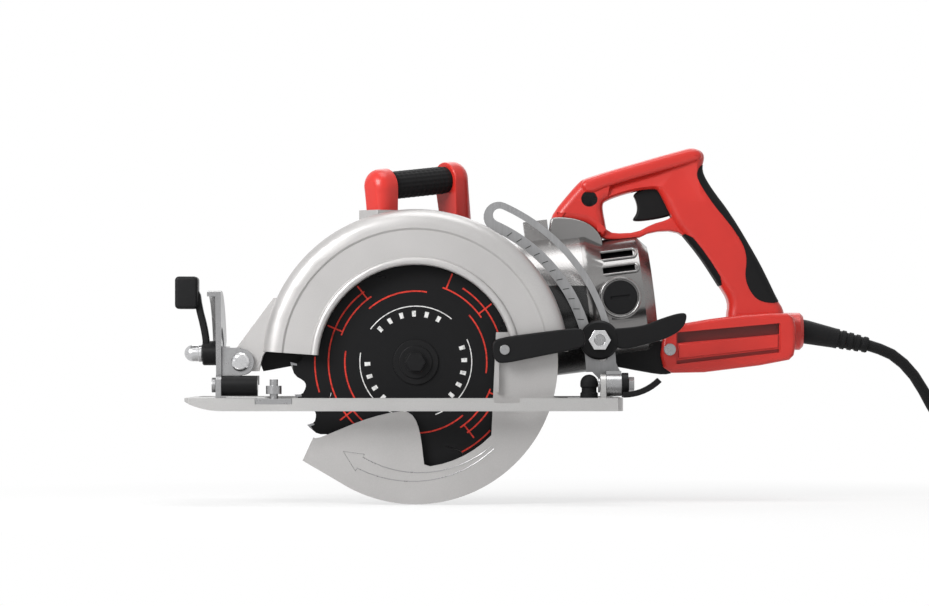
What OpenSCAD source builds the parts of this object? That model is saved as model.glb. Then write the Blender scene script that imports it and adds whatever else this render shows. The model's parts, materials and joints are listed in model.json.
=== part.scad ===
// Worm drive circular saw with cast guards, tilting shoe, rear handle and mains lead.
// +X points to the rear handle, -Y to the blade side, +Z up.
// The origin lies on the sole, below the arbor, on the mid line of the wide pad.

/* [Blade] */
// Diameter over the tooth tips
blade_d = 184; // [174:1:188]
// Thickness of the blade plate
blade_t = 1.6; // [1.2:0.1:2.2]
// Number of teeth
blade_teeth = 24; // [18:1:36]
// Depth of a gullet
gullet_h = 10; // [7:0.5:12]
// Bore of the blade
arbor_d = 15.9; // [14:0.1:18]
// Height of the arbor over the sole
arbor_z = 35.5; // [34.5:0.5:38]

/* [Guards] */
// Room from the tooth tips to the outside of the lower guard
lower_gap = 12; // [10:0.5:14]
// Step from the lower guard's outside to the upper guard's
nest_gap = 8; // [6.5:0.5:10]
// Radius of the window in the upper guard's face
guard_window_r = 71; // [69.5:0.5:74]
// Upper guard's face from the blade plane
guard_face = 16; // [16:0.5:19]
// Upper guard's back from the blade plane
guard_back = 18; // [16:0.5:20]
// Wall of the upper guard casting
guard_wall = 3.5; // [2.5:0.1:4]
// Half width of the lower guard
lower_half = 9; // [8:0.25:9.5]
// Sheet of the lower guard
lower_sheet = 2.2; // [1.6:0.1:2.8]

/* [Shoe] */
// Length of the shoe ahead of the arbor
shoe_front = 168; // [162:1:176]
// Length of the shoe behind the arbor
shoe_rear = 151; // [149:1:158]
// Height of the shoe's rim
shoe_t = 9.4; // [8:0.2:9.8]
// Thickness of the sole plate
sole_t = 5; // [4:0.2:6]
// Width of the pad under the motor
pad_w = 66; // [60:1:76]
// Blade plane to the pad's edge of the blade window
window_right = 43; // [43:1:50]
// Blade plane to the outer rail
rail_gap = 26; // [25:0.5:30]
// Width of the outer rail
rail_w = 12; // [9:0.5:15]

/* [Depth and bevel] */
// Front depth hinge ahead of the upper guard
pivot_reach = 16; // [15:0.5:20]
// Height of the bevel axis over the sole
bevel_z = 18.7; // [18:0.1:20]
// Bevel axis from the blade plane, on the rail's side
bevel_off = 10; // [8:0.5:11]
// Outer radius of the bevel quadrant
quadrant_r = 69; // [62:1:76]
// Width of the depth link's slot
slot_w = 9.8; // [9.4:0.1:10.5]
// Diameter of the depth clamp bolt
clamp_d = 8; // [7:0.1:8.2]
// Thickness of the depth link
link_t = 3.4; // [2.6:0.1:3.6]

/* [Drive] */
// Distance from the arbor to the worm shaft
worm_centres = 29; // [29:0.1:30]
// Starts of the worm
worm_starts = 3; // [3:1:3]
// Teeth of the worm wheel
wheel_teeth = 13; // [13:1:13]
// Tilt of the motor, rear end up
motor_tilt = 7; // [5:0.5:9]
// Motor axis from the blade plane
motor_off = 80; // [78:0.5:84]
// Outer radius of the motor casing
motor_r = 52; // [49:0.5:53]
// Wall of the motor casing
motor_wall = 4; // [3:0.2:5]

/* [Handles] */
// Length of the rear handle
handle_len = 193; // [185:1:205]
// Height of the rear handle
handle_h = 171; // [165:1:180]
// Half width of the rear handle
handle_half = 17; // [15:0.5:19]
// Half width of the handle's base box
base_half = 24; // [21:0.5:27]
// Radius of the top grip
grip_r = 10.6; // [9:0.2:12]
// Length of the top grip between its brackets
grip_len = 54; // [48:1:62]
// Width of the trigger
trigger_w = 14; // [11:0.5:16]

/* [Lead] */
// Diameter of the mains lead
cord_d = 8.5; // [7.5:0.1:8.6]
// Length of the strain relief outside the handle
boot_len = 50; // [30:1:60]
// Outer radius of the coil at mid cord
coil_r = 62; // [62:0.5:66]
// Turns of the coil in each layer
coil_turns = 3; // [3:1:3]

/* [Hidden] */
$fn = 64;

// Shared clearances
cut = 1;
fit = 0.05;
gap = 0.3;
side_gap = 0.35;

// Places that the driving sizes give
blade_r = blade_d / 2;
lower_r = blade_r + lower_gap;
upper_r = lower_r + nest_gap;
blade_y = -(pad_w / 2 + window_right);
motor_y = blade_y + motor_off;
worm_z = arbor_z + worm_centres / cos(motor_tilt);
mesh_x = -worm_centres * tan(motor_tilt);
floor_z = arbor_z - lower_r;
pivot_x = -(upper_r + pivot_reach);
bevel_y = blade_y - bevel_off;
rail_y = blade_y - rail_gap - rail_w;
pad_y = pad_w / 2;

// Upper guard
shoulder_r = 11;
bead_r = 3;
face_recess = 1.5;
face_step = 3;
guard_rear_angle = 4;
guard_front_angle = 176;
hub_r = 25;
guard_disc_r = 46;
gusset_half = 5;
ear_r = 8.8;
pin_r = 4;
gusset_shares = [[-0.86, 0.42], [-0.93, 0.42], [-1.02, 0.30], [-1.185, 0.075], [-1.07, -0.06], [-1.025, -0.06],
    [-1.0, 0.04], [-0.96, 0.10]];
guard_screw_angles = [45, 135, 215, 325];
guard_screw_ring_r = 38;
screw_r = 2.5;
screw_head_r = 4.5;
screw_head_h = 3;
screw_len = 14;

// Lower guard
lower_rear_angle = 12;
sheet_trim = 1;
nose_angle = 221;
nose_tangent_angle = 239.5;
cutout_r_share = 0.74;
cutout_from = -82;
cutout_to = -44;
lip_shares = [[-0.72, -0.53], [-0.69, -0.57], [-0.40, -0.375], [-0.10, -0.345]];
tongue_shares = [[-0.10, -0.345], [0.03, -0.34], [0.035, -0.52], [0.06, -0.72]];
back_edge_share = 0.565;
top_edge_share = 0.21;
lug_t = 2.2;
lug_w = 7;
lug_h = 40;
lug_drop = 22;
lug_reach = 5.5;
hub_ring_w = 8;
lever_gap = 2.2;
lever_t = 6;
lever_len = 52;
lever_end_r = 9;
lever_tip_r = 7.5;
lever_tilt = 9;
lever_x = 65;
lever_z = 9;
rivet_r = 2.2;
rivet_head_r = 3.6;
rivet_head_h = 1.4;
rivet_step = 9;

// Blade, flanges and arbor
flange_r = 16.5;
inner_flange_r = 22;
flange_h = 3.4;
flange_nose_r = 12;
inner_flange_h = 4.4;
bolt_r = 4;
bolt_head_r = 8;
bolt_head_h = 6;
bolt_washer_h = 1.5;
tooth_shares = [[0, 0], [0.07, 0.13], [0.24, 0.36], [0.44, 0.48], [0.71, 0.57], [0.90, 0.66], [0.97, 0.75],
    [0.94, 0.84], [0.82, 0.93], [0.64, 1.02], [0.44, 1.045]];
retainer_h = 1.2;
retainer_w = 3;
shaft_r = 9;
shaft_nose_r = 8.5;

// Gear case, worm and wheel
wheel_r = 19;
worm_r = worm_centres - wheel_r;
tooth_add = 2.4;
tooth_ded = 3;
worm_root_half = 2.1;
worm_tip_half = 0.9;
wheel_root_half = 2.6;
wheel_tip_half = 0.95;
worm_half_len = 17;
wheel_half_w = 7;
wheel_hub_w = 4;
case_gap = 1;
case_wall = 2.6;
case_r = arbor_z - shoe_t - case_gap;
case_flange_h = 2;
case_end_w = 27;
cover_h = 4;
nose_r = 20;
nose_front = -48;
nose_rear = 20;
bell_start = 50;
bell_end = 82;
bell_inset = 2;
bell_r = motor_r - bell_inset;
bearing_w = 8;
worm_bearing_r = 13;
worm_bearing_front = -40;
worm_bearing_rear = 24;
armature_bearing_r = 11;
arbor_bearing_r = 17;
arbor_bearing_front = 27;
pillar_r = 9;

// Motor
casing_end = 128;
bell_len = 50;
bell_tail = casing_end + bell_len;
bell_tail_r = 36;
bell_mid_r = 45;
bell_step = 8;
rear_bearing_in = 12;
rear_bearing_x = bell_tail - rear_bearing_in;
commutator_len = 20;
commutator_room = 2;
commutator_end = rear_bearing_x - motor_wall - commutator_room;
commutator_start = commutator_end - commutator_len;
brush_in = 12;
brush_x = commutator_start + brush_in;
brush_boss_r = 16;
brush_boss_face = 54.5;
brush_cap_r = 12.5;
brush_cap_h = 6;
cap_slot_w = 2;
cap_slot_h = 1.2;
cap_slot_len = 14;
brush_w = 7;
brush_h = 10;
commutator_r = 16;
rotor_shaft_r = 6;
core_r = 27.5;
core_start = 86;
core_room = 16;
core_end = commutator_start - core_room;
stator_over = 2;
stator_start = core_start - stator_over;
stator_end = core_end + stator_over;
stator_bore_r = 29;
fan_r = 43;
fan_start = 54;
fan_end = 64;
fan_blades = 14;
fan_blade_t = 2;
fan_hub_r = 14;
fan_plate_h = 2;
vent_w = 4.5;
vent_before = 10;
vent_start = brush_x - vent_before;
vent_end = rear_bearing_x;
vent_lifts = [21, 32];
lug_r = 11;
saddle_half = 13;
saddle_len = 18;
saddle_x = 88;
saddle_rise = 13;
core_slots = 12;
core_slot_w = 3;
commutator_bars = 24;

// Depth link and its clamp
link_r = 128.5;
slot_shift = 0.57;
clamp_angle = 11.5;
slot_from = 6.5;
slot_to = 66;
link_from = 1;
strip_out = 5.4;
strip_in = 7.2;
link_face = guard_back + 2;
foot_x = 146;
foot_z = 22;
foot_r = 7;
foot_pin_r = 3;
clamp_in = 6.92;
clamp_lift = 16.119;
clamp_x = casing_end + clamp_in;
clamp_z = arbor_z + clamp_lift;
link_x = clamp_x - link_r * cos(clamp_angle);
link_z = clamp_z - link_r * sin(clamp_angle);
hub_h = 11;
clamp_hub_r = 14.5;
paddle_t = 6;
paddle_len = 64;
paddle_rise = 20;
paddle_shares = [[0.0, 0.35], [0.55, 0.62], [0.60, 0.78], [1.0, 1.0], [0.96, 0.45], [0.80, 0.10], [0.2, -0.42]];
nut_r = 8.2;
nut_h = 6;
bolt_tail = 24;

// Front hinge, clevis and bevel clamp
cheek_t = 4.6;
cheek_r = 9.8;
clevis_front = 13.4;
clevis_back_t = 3;
clevis_low = 10;
clevis_high = 11.5;
stud_off = 30;
stud_z = 42;
stud_r = 4;
dome_r = 6.5;
dome_len = 13.2;
quadrant_t = 4;
quadrant_rim = 10;
quadrant_rim_t = 3.4;
quadrant_low_angle = 28;
quadrant_high_angle = 100;
bevel_travel = 50;
barrel_r = 8;
trunnion_len = 26;
trunnion_h = 6;
lever_hub_r = 9;
lever_hub_t = 5;
lever_hub_len = 11.5;
bevel_lever_h = 44;
bevel_pad_w = 17;
bevel_pad_ahead = 20;
bevel_lean = 7;
bevel_pad_h = 24;
bevel_pad_t = 20;
bevel_stem_w = 9;

// Rear hinge
rear_ear_x = 135;
rear_ear_t = 4;
rear_barrel_len = 11;
foot_cheek_t = 4;
foot_width = 12;
rear_lever_len = 30;
rear_lever_rise = 8;
rear_lever_w = 12;
rear_lever_t = 4;
rear_sweep_from = 270;
rear_sweep_to = 315;
rear_nut_r = 6;
rear_nut_h = 4;
bumper_x = 127;
bumper_r = 6.5;
bumper_h = 17;

// Shoe details
shoe_corner_r = 14;
window_front = 111;
window_rear = 112;
window_corner_r = 8;
rim_w = 4;
nose_len = 28;
nose_rise = 7;
fence_slot_x = -116;
fence_slot_w = 27;
fence_slot_h = 4.4;
rail_notch_x = 57;
rail_notch_w = 19;
rail_notch_h = 3.6;
rib_w = 3;
rib_steps = [-60, 0, 60];
clamp_bar_h = 4;
clamp_bar_w = 18;
thumb_r = 3;
thumb_head_r = 6;
thumb_head_h = 6;

// Top handle
top_turn = 39;
top_rise = 6.2;
top_y = 30;
top_z = 168;
bracket_t = 17;
bracket_w = 20;
bracket_end_r = 13;

// Rear handle
pivot_shares = [0.165, 0.775];
handle_pivot_x = 128.845;
handle_pivot_z = 157.525;
handle_x = handle_pivot_x - pivot_shares[0] * handle_len;
handle_z = handle_pivot_z - pivot_shares[1] * handle_h;
handle_shares = [
    [0, 0.68], [0.12, 0.845], [0.155, 0.87], [0.53, 0.995], [0.57, 1.0], [0.60, 0.985], [0.615, 0.955],
    [0.60, 0.90], [0.64, 0.82], [0.715, 0.71], [0.815, 0.52], [0.86, 0.42], [0.895, 0.335],
    [0.925, 0.285], [0.96, 0.275], [0.96, 0.09], [0.93, 0.06], [0.50, 0.0], [0.435, 0.04], [0.38, 0.10],
    [0.38, 0.20], [0.46, 0.21], [0.67, 0.245], [0.70, 0.27], [0.712, 0.325], [0.67, 0.40], [0.60, 0.523],
    [0.53, 0.62], [0.50, 0.637], [0.41, 0.635], [0.35, 0.60], [0.26, 0.60], [0.22, 0.60], [0.205, 0.63],
    [0.165, 0.665], [0.06, 0.675]];
finger_shares = [[0.218, 0.766], [0.337, 0.81], [0.43, 0.82], [0.475, 0.72], [0.47, 0.685], [0.41, 0.665],
    [0.35, 0.628], [0.26, 0.626], [0.235, 0.64]];
base_shares = [[0.455, 0.215], [0.70, 0.262], [0.92, 0.28], [0.965, 0.25], [0.965, 0.10], [0.93, 0.06],
    [0.50, 0.0], [0.435, 0.05]];
panel_shares = [[0.50, 0.17], [0.905, 0.222], [0.905, 0.115], [0.50, 0.055]];
rear_grip_shares = [[0.605, 0.925], [0.60, 0.90], [0.64, 0.82], [0.715, 0.71], [0.815, 0.52], [0.86, 0.42],
    [0.895, 0.335], [0.815, 0.325], [0.755, 0.42], [0.755, 0.50], [0.695, 0.63], [0.60, 0.80], [0.578, 0.885]];
inner_grip_shares = [[0.53, 0.62], [0.60, 0.523], [0.67, 0.40], [0.69, 0.405], [0.621, 0.53], [0.55, 0.629]];
trigger_shares = [[0.335, 0.80], [0.352, 0.74], [0.340, 0.685], [0.40, 0.69], [0.46, 0.70], [0.505, 0.71],
    [0.505, 0.79], [0.475, 0.875], [0.42, 0.875], [0.40, 0.835]];
trigger_pivot_shares = [0.445, 0.86];
trigger_pin_h = 4;
trigger_pin_r = 2.5;
trigger_room = 0.5;
pocket_from_share = 0.33;
pocket_to_share = 0.565;
pocket_low_share = 0.662;
pocket_high_share = 0.89;
switch_shares = [0.685, 0.515];
switch_lean = 36;
switch_len = 11;
switch_h = 26;
switch_half = 9;
handle_pivot_r = 6.8;
round_steps = [[0, 0], [0.55, 0.6], [0.8, 1.8], [0.95, 3.6]];
round_h_share = 0.34;
panel_depth = 2.4;
cord_boss_r = 14;
cord_boss_start = 12;
cord_exit_share = 0.195;
boot_r = 9;
boot_end_r = 6.2;
boot_root_r = 9;
boot_root_len = 10;
boot_dip = 12;
boot_ribs = 5;
boot_rib_w = 2.4;
boot_rib_h = 0.9;
handle_screw_shares = [[0.30, 0.905], [0.55, 0.945], [0.735, 0.35]];
tongue_screw_shares = [0.476, 0.115];
screw_seat = 11;
handle_screw_len = 22;
tongue_screw_len = 12;

// Lead: points of the free stretch, then the coil
cord_route = [
    [348, 4, 45], [357, 4, 41], [366, 5, 34], [374, 6, 25], [381, 7, 14], [387, 8, 3],
    [394, 10, -8], [400, 12, -19], [407, 14, -30], [414, 16, -41], [423, 19, -50], [433, 21, -57],
    [443, 23, -61], [453, 24, -63], [463, 24, -64]];
coil_x = 463;
coil_start_y = 24;
coil_y = coil_start_y - coil_r;
coil_z = -64;
coil_step = 9.3;
coil_rings = 24;
coil_tail = 28;
coil_sides = 6;
cord_sides = 8;
tie_w = 14;
tie_t = 1.4;
tie_room = 0.5;
plug_r = 13;
plug_len = 40;
plug_neck_r = 7;
prong_len = 18;
prong_t = 1.6;
prong_w = 6.4;
prong_gap = 12.7;
earth_r = 2.4;
earth_len = 21;

// Round bars and plates
module rod_y(r, from, to) {
    translate([0, from, 0])
        rotate([-90, 0, 0])
            cylinder(r = r, h = to - from);
}

module rod_x(r, from, to) {
    translate([from, 0, 0])
        rotate([0, 90, 0])
            cylinder(r = r, h = to - from);
}

module plate_y(from, to) {
    translate([0, to, 0])
        rotate([90, 0, 0])
            linear_extrude(to - from)
                children();
}

module plate_x(from, to) {
    translate([from, 0, 0])
        rotate([90, 0, 90])
            linear_extrude(to - from)
                children();
}

module at_arbor() {
    translate([0, 0, arbor_z])
        children();
}

module in_motor() {
    translate([0, motor_y, worm_z])
        rotate([0, -motor_tilt, 0])
            children();
}

module guard_turn(from, to) {
    translate([0, blade_y, arbor_z])
        rotate([90, 0, 0])
            rotate([0, 0, from])
                rotate_extrude(angle = to - from)
                    children();
}

function arc(x, y, r, from, to, steps) =
    [for (i = [0:steps]) let (a = from + (to - from) * i / steps) [x + r * cos(a), y + r * sin(a)]];
function slot_points(r, w, from, to, steps) = concat(
    arc(0, 0, r + w / 2, from, to, steps),
    arc(r * cos(to), r * sin(to), w / 2, to, to + 180, 8),
    arc(0, 0, r - w / 2, to, from, steps),
    arc(r * cos(from), r * sin(from), w / 2, from + 180, from + 360, 8));
function scaled(shares, w, h) = [for (p = shares) [p[0] * w, p[1] * h]];
function curve(p, steps) =
    [for (i = [0:steps]) let (t = i / steps, u = 1 - t)
        p[0] * u * u * u + p[1] * 3 * u * u * t + p[2] * 3 * u * t * t + p[3] * t * t * t];

// Upper guard: cast drum over the top half of the blade
module guard_section() {
    polygon(concat(
        [[hub_r - gap, -guard_back], [upper_r, -guard_back]],
        arc(upper_r - shoulder_r, guard_face - shoulder_r, shoulder_r, 0, 90, 6),
        [[upper_r - shoulder_r - face_step, guard_face],
         [upper_r - shoulder_r - face_step - face_recess, guard_face - face_recess]],
        arc(guard_window_r + bead_r, guard_face - face_recess, bead_r, 0, 180, 8),
        [[guard_window_r, guard_face - guard_wall]],
        arc(upper_r - shoulder_r, guard_face - shoulder_r, shoulder_r - guard_wall, 90, 0, 4),
        [[upper_r - guard_wall, guard_wall - guard_back], [hub_r - gap, guard_wall - guard_back]]));
}

module gusset_outline() {
    polygon(scaled(gusset_shares, upper_r, upper_r));
    translate([pivot_x, 0])
        circle(r = ear_r);
}

module guard_screw_places() {
    for (a = guard_screw_angles)
        at_arbor()
            rotate([0, -a, 0])
                translate([guard_screw_ring_r, 0, 0])
                    children();
}

module upper_guard() {
    color([0.74, 0.73, 0.72])
    difference() {
        union() {
            guard_turn(guard_rear_angle, guard_front_angle)
                guard_section();
            at_arbor()
                rod_y(guard_disc_r, blade_y + guard_back - guard_wall + gap, blade_y + guard_back - gap);
            at_arbor()
                plate_y(blade_y - gusset_half, blade_y + gusset_half)
                    difference() {
                        gusset_outline();
                        circle(r = upper_r - guard_wall / 2);
                    }
            difference() {
                foot_place(-1)
                    translate([-bracket_t / 2 - cut, -bracket_w / 2 - cut, -pillar_low])
                        cube([bracket_t + cut + cut, bracket_w + cut + cut, pillar_low]);
                at_arbor()
                    rod_y(upper_r - guard_wall / 2, blade_y - upper_r, blade_y + guard_back);
            }
        }
        at_arbor()
            rod_y(hub_r + gap, blade_y - cut, blade_y + guard_back + cut);
        translate([pivot_x, 0, arbor_z])
            rod_y(pin_r + fit, blade_y - gusset_half - cut, blade_y + gusset_half + cut);
        guard_screw_places()
            rod_y(screw_r + gap, blade_y + guard_back - guard_wall - cut, blade_y + guard_back + cut);
    }
}

// Lower guard: spring loaded drum that swings up into the upper guard
lip_r = lower_r / cos(nose_tangent_angle - nose_angle);

function on_circle(r, a) = [r * cos(a), r * sin(a)];

sheet_r = lower_r - lower_sheet / 2;
lip_point = on_circle(lip_r, nose_angle);
top_angle = asin(top_edge_share * lower_r / sheet_r);

module blade_side_sheet() {
    polygon(concat(
        [lip_point - on_circle(lower_sheet / 2, nose_tangent_angle)],
        curve(scaled(lip_shares, lower_r, lower_r), 10),
        curve(scaled(tongue_shares, lower_r, lower_r), 8),
        arc(0, 0, cutout_r_share * lower_r, cutout_from, cutout_to, 6),
        [[back_edge_share * lower_r, top_edge_share * lower_r]],
        arc(0, 0, sheet_r, top_angle, nose_tangent_angle - 360, 48)));
}

module motor_side_sheet() {
    difference() {
        union() {
            circle(r = hub_r + hub_ring_w);
            polygon(concat([[0, 0]], arc(0, 0, sheet_r, nose_tangent_angle + sheet_trim,
                360 + lower_rear_angle - sheet_trim, 48)));
        }
        circle(r = hub_r + fit);
    }
}

module lower_rim() {
    polygon(concat([lip_point],
        arc(0, 0, lower_r, nose_tangent_angle, 360 + lower_rear_angle, 48),
        arc(0, 0, lower_r - lower_sheet, 360 + lower_rear_angle, nose_tangent_angle, 48),
        [lip_point - on_circle(lower_sheet, nose_tangent_angle)]));
}

module lower_guard() {
    color([0.68, 0.67, 0.66])
    at_arbor() {
        plate_y(blade_y - lower_half, blade_y - lower_half + lower_sheet)
            blade_side_sheet();
        plate_y(blade_y + lower_half - lower_sheet, blade_y + lower_half)
            motor_side_sheet();
        plate_y(blade_y - lower_half, blade_y + lower_half)
            lower_rim();
        translate([back_edge_share * lower_r, blade_y - lower_half - lug_reach, -lug_drop]) {
            cube([lug_t, lug_reach + lower_sheet, lug_h]);
            translate([0, 0, lug_h - lug_w - lug_w])
                cube([lug_w, lug_t, lug_w + lug_w]);
        }
    }
}

lever_back = blade_y - lower_half - lug_reach;
lever_face = blade_y - guard_face - lever_gap;

module lever_place() {
    translate([lever_x, 0, arbor_z + lever_z])
        rotate([0, -lever_tilt, 0])
            children();
}

module lift_lever() {
    color([0.1, 0.1, 0.1])
    lever_place()
    difference() {
        union() {
            plate_y(lever_face - lever_t, lever_face)
                hull() {
                    circle(r = lever_end_r, $fn = 32);
                    translate([lever_len, 0])
                        circle(r = lever_tip_r, $fn = 32);
                }
            rod_y(lug_w / 2, lever_face - cut, lever_back);
        }
        rod_y(rivet_r + fit, lever_face - lever_t - cut, lever_back + cut);
    }
}

module lever_rivets() {
    color([0.75, 0.75, 0.75])
    lever_place() {
        rod_y(rivet_r, lever_face - lever_t - rivet_head_h / 2, lever_back);
        rod_y(rivet_head_r, lever_face - lever_t - rivet_head_h, lever_face - lever_t);
    }
}

// Coil spring between the lower guard and the upper guard's back wall
spring_wire = 1.5;
spring_turns = 2.5;
spring_flat = 1;
spring_out = 3;
spring_r = hub_r + spring_out;
spring_room = guard_back - guard_wall - lower_half;

spring_seat = spring_wire / 2 * cos(30);
spring_rise = spring_room - spring_seat - spring_wire;

function spring_path() =
    [for (i = [0:spring_turns * coil_rings]) let (a = 360 * i / coil_rings,
        t = max(0, i / coil_rings - spring_flat) / (spring_turns - spring_flat))
            [spring_r * cos(a), -spring_seat - t * spring_rise, spring_r * sin(a)]];

module guard_spring() {
    color([0.5, 0.5, 0.52])
    translate([0, blade_y + guard_back - guard_wall, arbor_z])
        sweep(spring_path(), spring_wire / 2, coil_sides, [0, 1, 0]);
}

module guard_retainer() {
    color([0.5, 0.5, 0.52])
    at_arbor()
        difference() {
            rod_y(hub_r + retainer_w, blade_y + lower_half - lower_sheet - side_gap - retainer_h,
                blade_y + lower_half - lower_sheet - side_gap);
            rod_y(hub_r - retainer_w / 2, blade_y, blade_y + lower_half);
        }
}

// Blade with its flanges and bolt
function tooth_line() = [for (i = [0:blade_teeth - 1], p = tooth_shares)
    on_circle(blade_r - gullet_h * p[0], (i + p[1]) * 360 / blade_teeth)];

module blade() {
    color([0.13, 0.13, 0.13])
    at_arbor()
        plate_y(blade_y - blade_t / 2, blade_y + blade_t / 2)
            difference() {
                polygon(tooth_line());
                circle(r = arbor_d / 2);
            }
}

module outer_flange() {
    color([0.2, 0.2, 0.2])
    at_arbor()
        difference() {
            union() {
                rod_y(flange_r, blade_y - blade_t / 2 - flange_h / 2, blade_y - blade_t / 2);
                rod_y(flange_nose_r, blade_y - blade_t / 2 - flange_h, blade_y - blade_t / 2);
            }
            rod_y(bolt_r + gap, blade_y - blade_t - flange_h - cut, blade_y);
        }
}

module inner_flange() {
    color([0.6, 0.6, 0.6])
    at_arbor()
        difference() {
            union() {
                rod_y(inner_flange_r, blade_y + blade_t / 2, blade_y + blade_t / 2 + inner_flange_h);
                rod_y(arbor_d / 2 - fit, blade_y - blade_t / 2, blade_y + blade_t);
            }
            rod_y(bolt_r + gap, blade_y - blade_t, blade_y + blade_t + inner_flange_h + cut);
        }
}

module blade_bolt() {
    color([0.15, 0.15, 0.15])
    at_arbor() {
        front = blade_y - blade_t / 2 - flange_h;
        rod_y(bolt_head_r, front - bolt_washer_h, front);
        translate([0, front - bolt_washer_h - bolt_head_h, 0])
            rotate([-90, 0, 0])
                cylinder(r = bolt_head_r - bolt_washer_h / 2, h = bolt_head_h, $fn = 6);
        rod_y(bolt_r, front, blade_y + blade_t / 2 + inner_flange_h + bolt_head_h);
    }
}

module arbor_shaft() {
    color([0.62, 0.62, 0.62])
    at_arbor()
        difference() {
            start = blade_y + blade_t / 2 + inner_flange_h;
            rod_y(shaft_nose_r, start, motor_y + case_end_w - cover_h);
            rod_y(bolt_r + fit, start - cut, start + bolt_head_h + cut);
        }
}

// Worm and wheel: the wheel's teeth lean with the worm's lead
wheel_pitch = 2 * PI * wheel_r / wheel_teeth;
worm_lead = wheel_pitch * worm_starts;

function flank(r_root, r_tip, half_root, half_tip, n) =
    [for (i = [0:n - 1], q = [[-1, 0], [-1, 1], [1, 1], [1, 0]])
        let (r = q[1] == 1 ? r_tip : r_root, h = q[1] == 1 ? half_tip : half_root)
            on_circle(r, (i + q[0] * h) * 360 / n)];

module worm() {
    color([0.7, 0.62, 0.4])
    in_motor() {
        rotate([0, 90, 0])
            translate([0, 0, mesh_x - worm_half_len])
                rotate([0, 0, -180 * 2 * worm_half_len / worm_lead])
                    linear_extrude(2 * worm_half_len, slices = 36, twist = -360 * 2 * worm_half_len / worm_lead)
                        polygon(flank(worm_r - tooth_ded, worm_r + tooth_add, worm_root_half / wheel_pitch,
                            worm_tip_half / wheel_pitch, worm_starts));
        rod_x(rotor_shaft_r, worm_bearing_front, mesh_x - worm_half_len);
    }
}

wheel_twist = -360 * wheel_half_w / (PI * wheel_r) * worm_lead / (2 * PI * worm_r);

module worm_wheel() {
    color([0.72, 0.58, 0.3])
    at_arbor()
        translate([0, motor_y, 0])
            difference() {
                union() {
                    rotate([90, 0, 0])
                        rotate([0, 0, 90 + motor_tilt + 180 / wheel_teeth + wheel_twist / 2])
                            linear_extrude(2 * wheel_half_w, center = true, slices = 8, twist = wheel_twist)
                                polygon(flank(wheel_r - tooth_ded, wheel_r + tooth_add, wheel_root_half / wheel_pitch,
                                    wheel_tip_half / wheel_pitch, wheel_teeth));
                    rod_y(shaft_r + wheel_hub_w, -wheel_half_w - wheel_hub_w, wheel_half_w + wheel_hub_w);
                }
                rod_y(shaft_nose_r + fit, -wheel_half_w - wheel_hub_w - cut, wheel_half_w + wheel_hub_w + cut);
            }
}

// Gear case behind the upper guard, with the worm's nose and the motor's flange
module gear_housing() {
    color([0.7, 0.7, 0.69])
    difference() {
        union() {
            at_arbor() {
                rod_y(guard_disc_r, blade_y + guard_back, blade_y + guard_back + case_flange_h);
                rod_y(case_r, blade_y + guard_back, motor_y + case_end_w);
                rod_y(hub_r, blade_y + lower_half - lower_sheet - side_gap, blade_y + guard_back + cut);
                rod_y(hub_r - retainer_w / 2 - gap, blade_y + lower_half - lower_sheet - side_gap - retainer_h,
                    blade_y + guard_back);
            }
            in_motor() {
                rod_x(nose_r, nose_front, nose_rear);
                translate([nose_rear - cut, 0, 0])
                    rotate([0, 90, 0])
                        cylinder(r1 = nose_r, r2 = bell_r, h = bell_start - nose_rear + cut);
                rod_x(bell_r, bell_start, bell_end);
            }
            translate([0, 0, arbor_z])
                rod_y(nose_r, motor_y - nose_r, motor_y + nose_r);
            translate([-nose_r, motor_y - nose_r, arbor_z])
                cube([nose_r + nose_r, nose_r + nose_r, worm_centres]);
            foot_place(1)
                translate([0, 0, -pillar_drop])
                    cylinder(r = pillar_r, h = pillar_drop);
        }
        at_arbor() {
            rod_y(shaft_nose_r + gap, blade_y, motor_y + case_end_w + cut);
            rod_y(arbor_bearing_r, blade_y + arbor_bearing_front, blade_y + arbor_bearing_front + bearing_w);
            rod_y(arbor_bearing_r - retainer_w, blade_y + arbor_bearing_front, motor_y);
            rod_y(wheel_r + tooth_add + case_gap, motor_y - wheel_half_w - wheel_hub_w - gap, motor_y + case_end_w + cut);
        }
        in_motor() {
            rod_x(worm_r + tooth_add + case_gap, worm_bearing_front + bearing_w, worm_bearing_rear);
            rod_x(worm_bearing_r, worm_bearing_front, worm_bearing_front + bearing_w);
            rod_x(worm_bearing_r, worm_bearing_rear, worm_bearing_rear + bearing_w);
            rod_x(rotor_shaft_r + gap, worm_bearing_rear, bell_end);
            rod_x(worm_bearing_r - retainer_w, worm_bearing_rear, fan_start);
            rod_x(bell_r - motor_wall, fan_start - fan_plate_h, bell_end + cut);
        }
        guard_screw_places()
            rod_y(screw_r, blade_y + guard_back - cut, blade_y + guard_back + case_flange_h + cut);
    }
}

module gear_cover() {
    color([0.7, 0.7, 0.69])
    at_arbor()
        difference() {
            union() {
                rod_y(case_r, motor_y + case_end_w, motor_y + case_end_w + cover_h);
                rod_y(wheel_r + tooth_add, motor_y + case_end_w - bearing_w, motor_y + case_end_w);
            }
            rod_y(arbor_bearing_r, motor_y + case_end_w - bearing_w - cut, motor_y + case_end_w);
        }
}

module arbor_bearings() {
    color([0.8, 0.8, 0.8])
    at_arbor()
        for (start = [blade_y + arbor_bearing_front, motor_y + case_end_w - bearing_w])
            difference() {
                rod_y(arbor_bearing_r, start, start + bearing_w);
                rod_y(shaft_nose_r + fit, start - cut, start + bearing_w + cut);
            }
}

module worm_bearings() {
    color([0.8, 0.8, 0.8])
    in_motor()
        for (start = [worm_bearing_front, worm_bearing_rear])
            difference() {
                rod_x(worm_bearing_r, start, start + bearing_w);
                rod_x(rotor_shaft_r + fit, start - cut, start + bearing_w + cut);
            }
}

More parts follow.
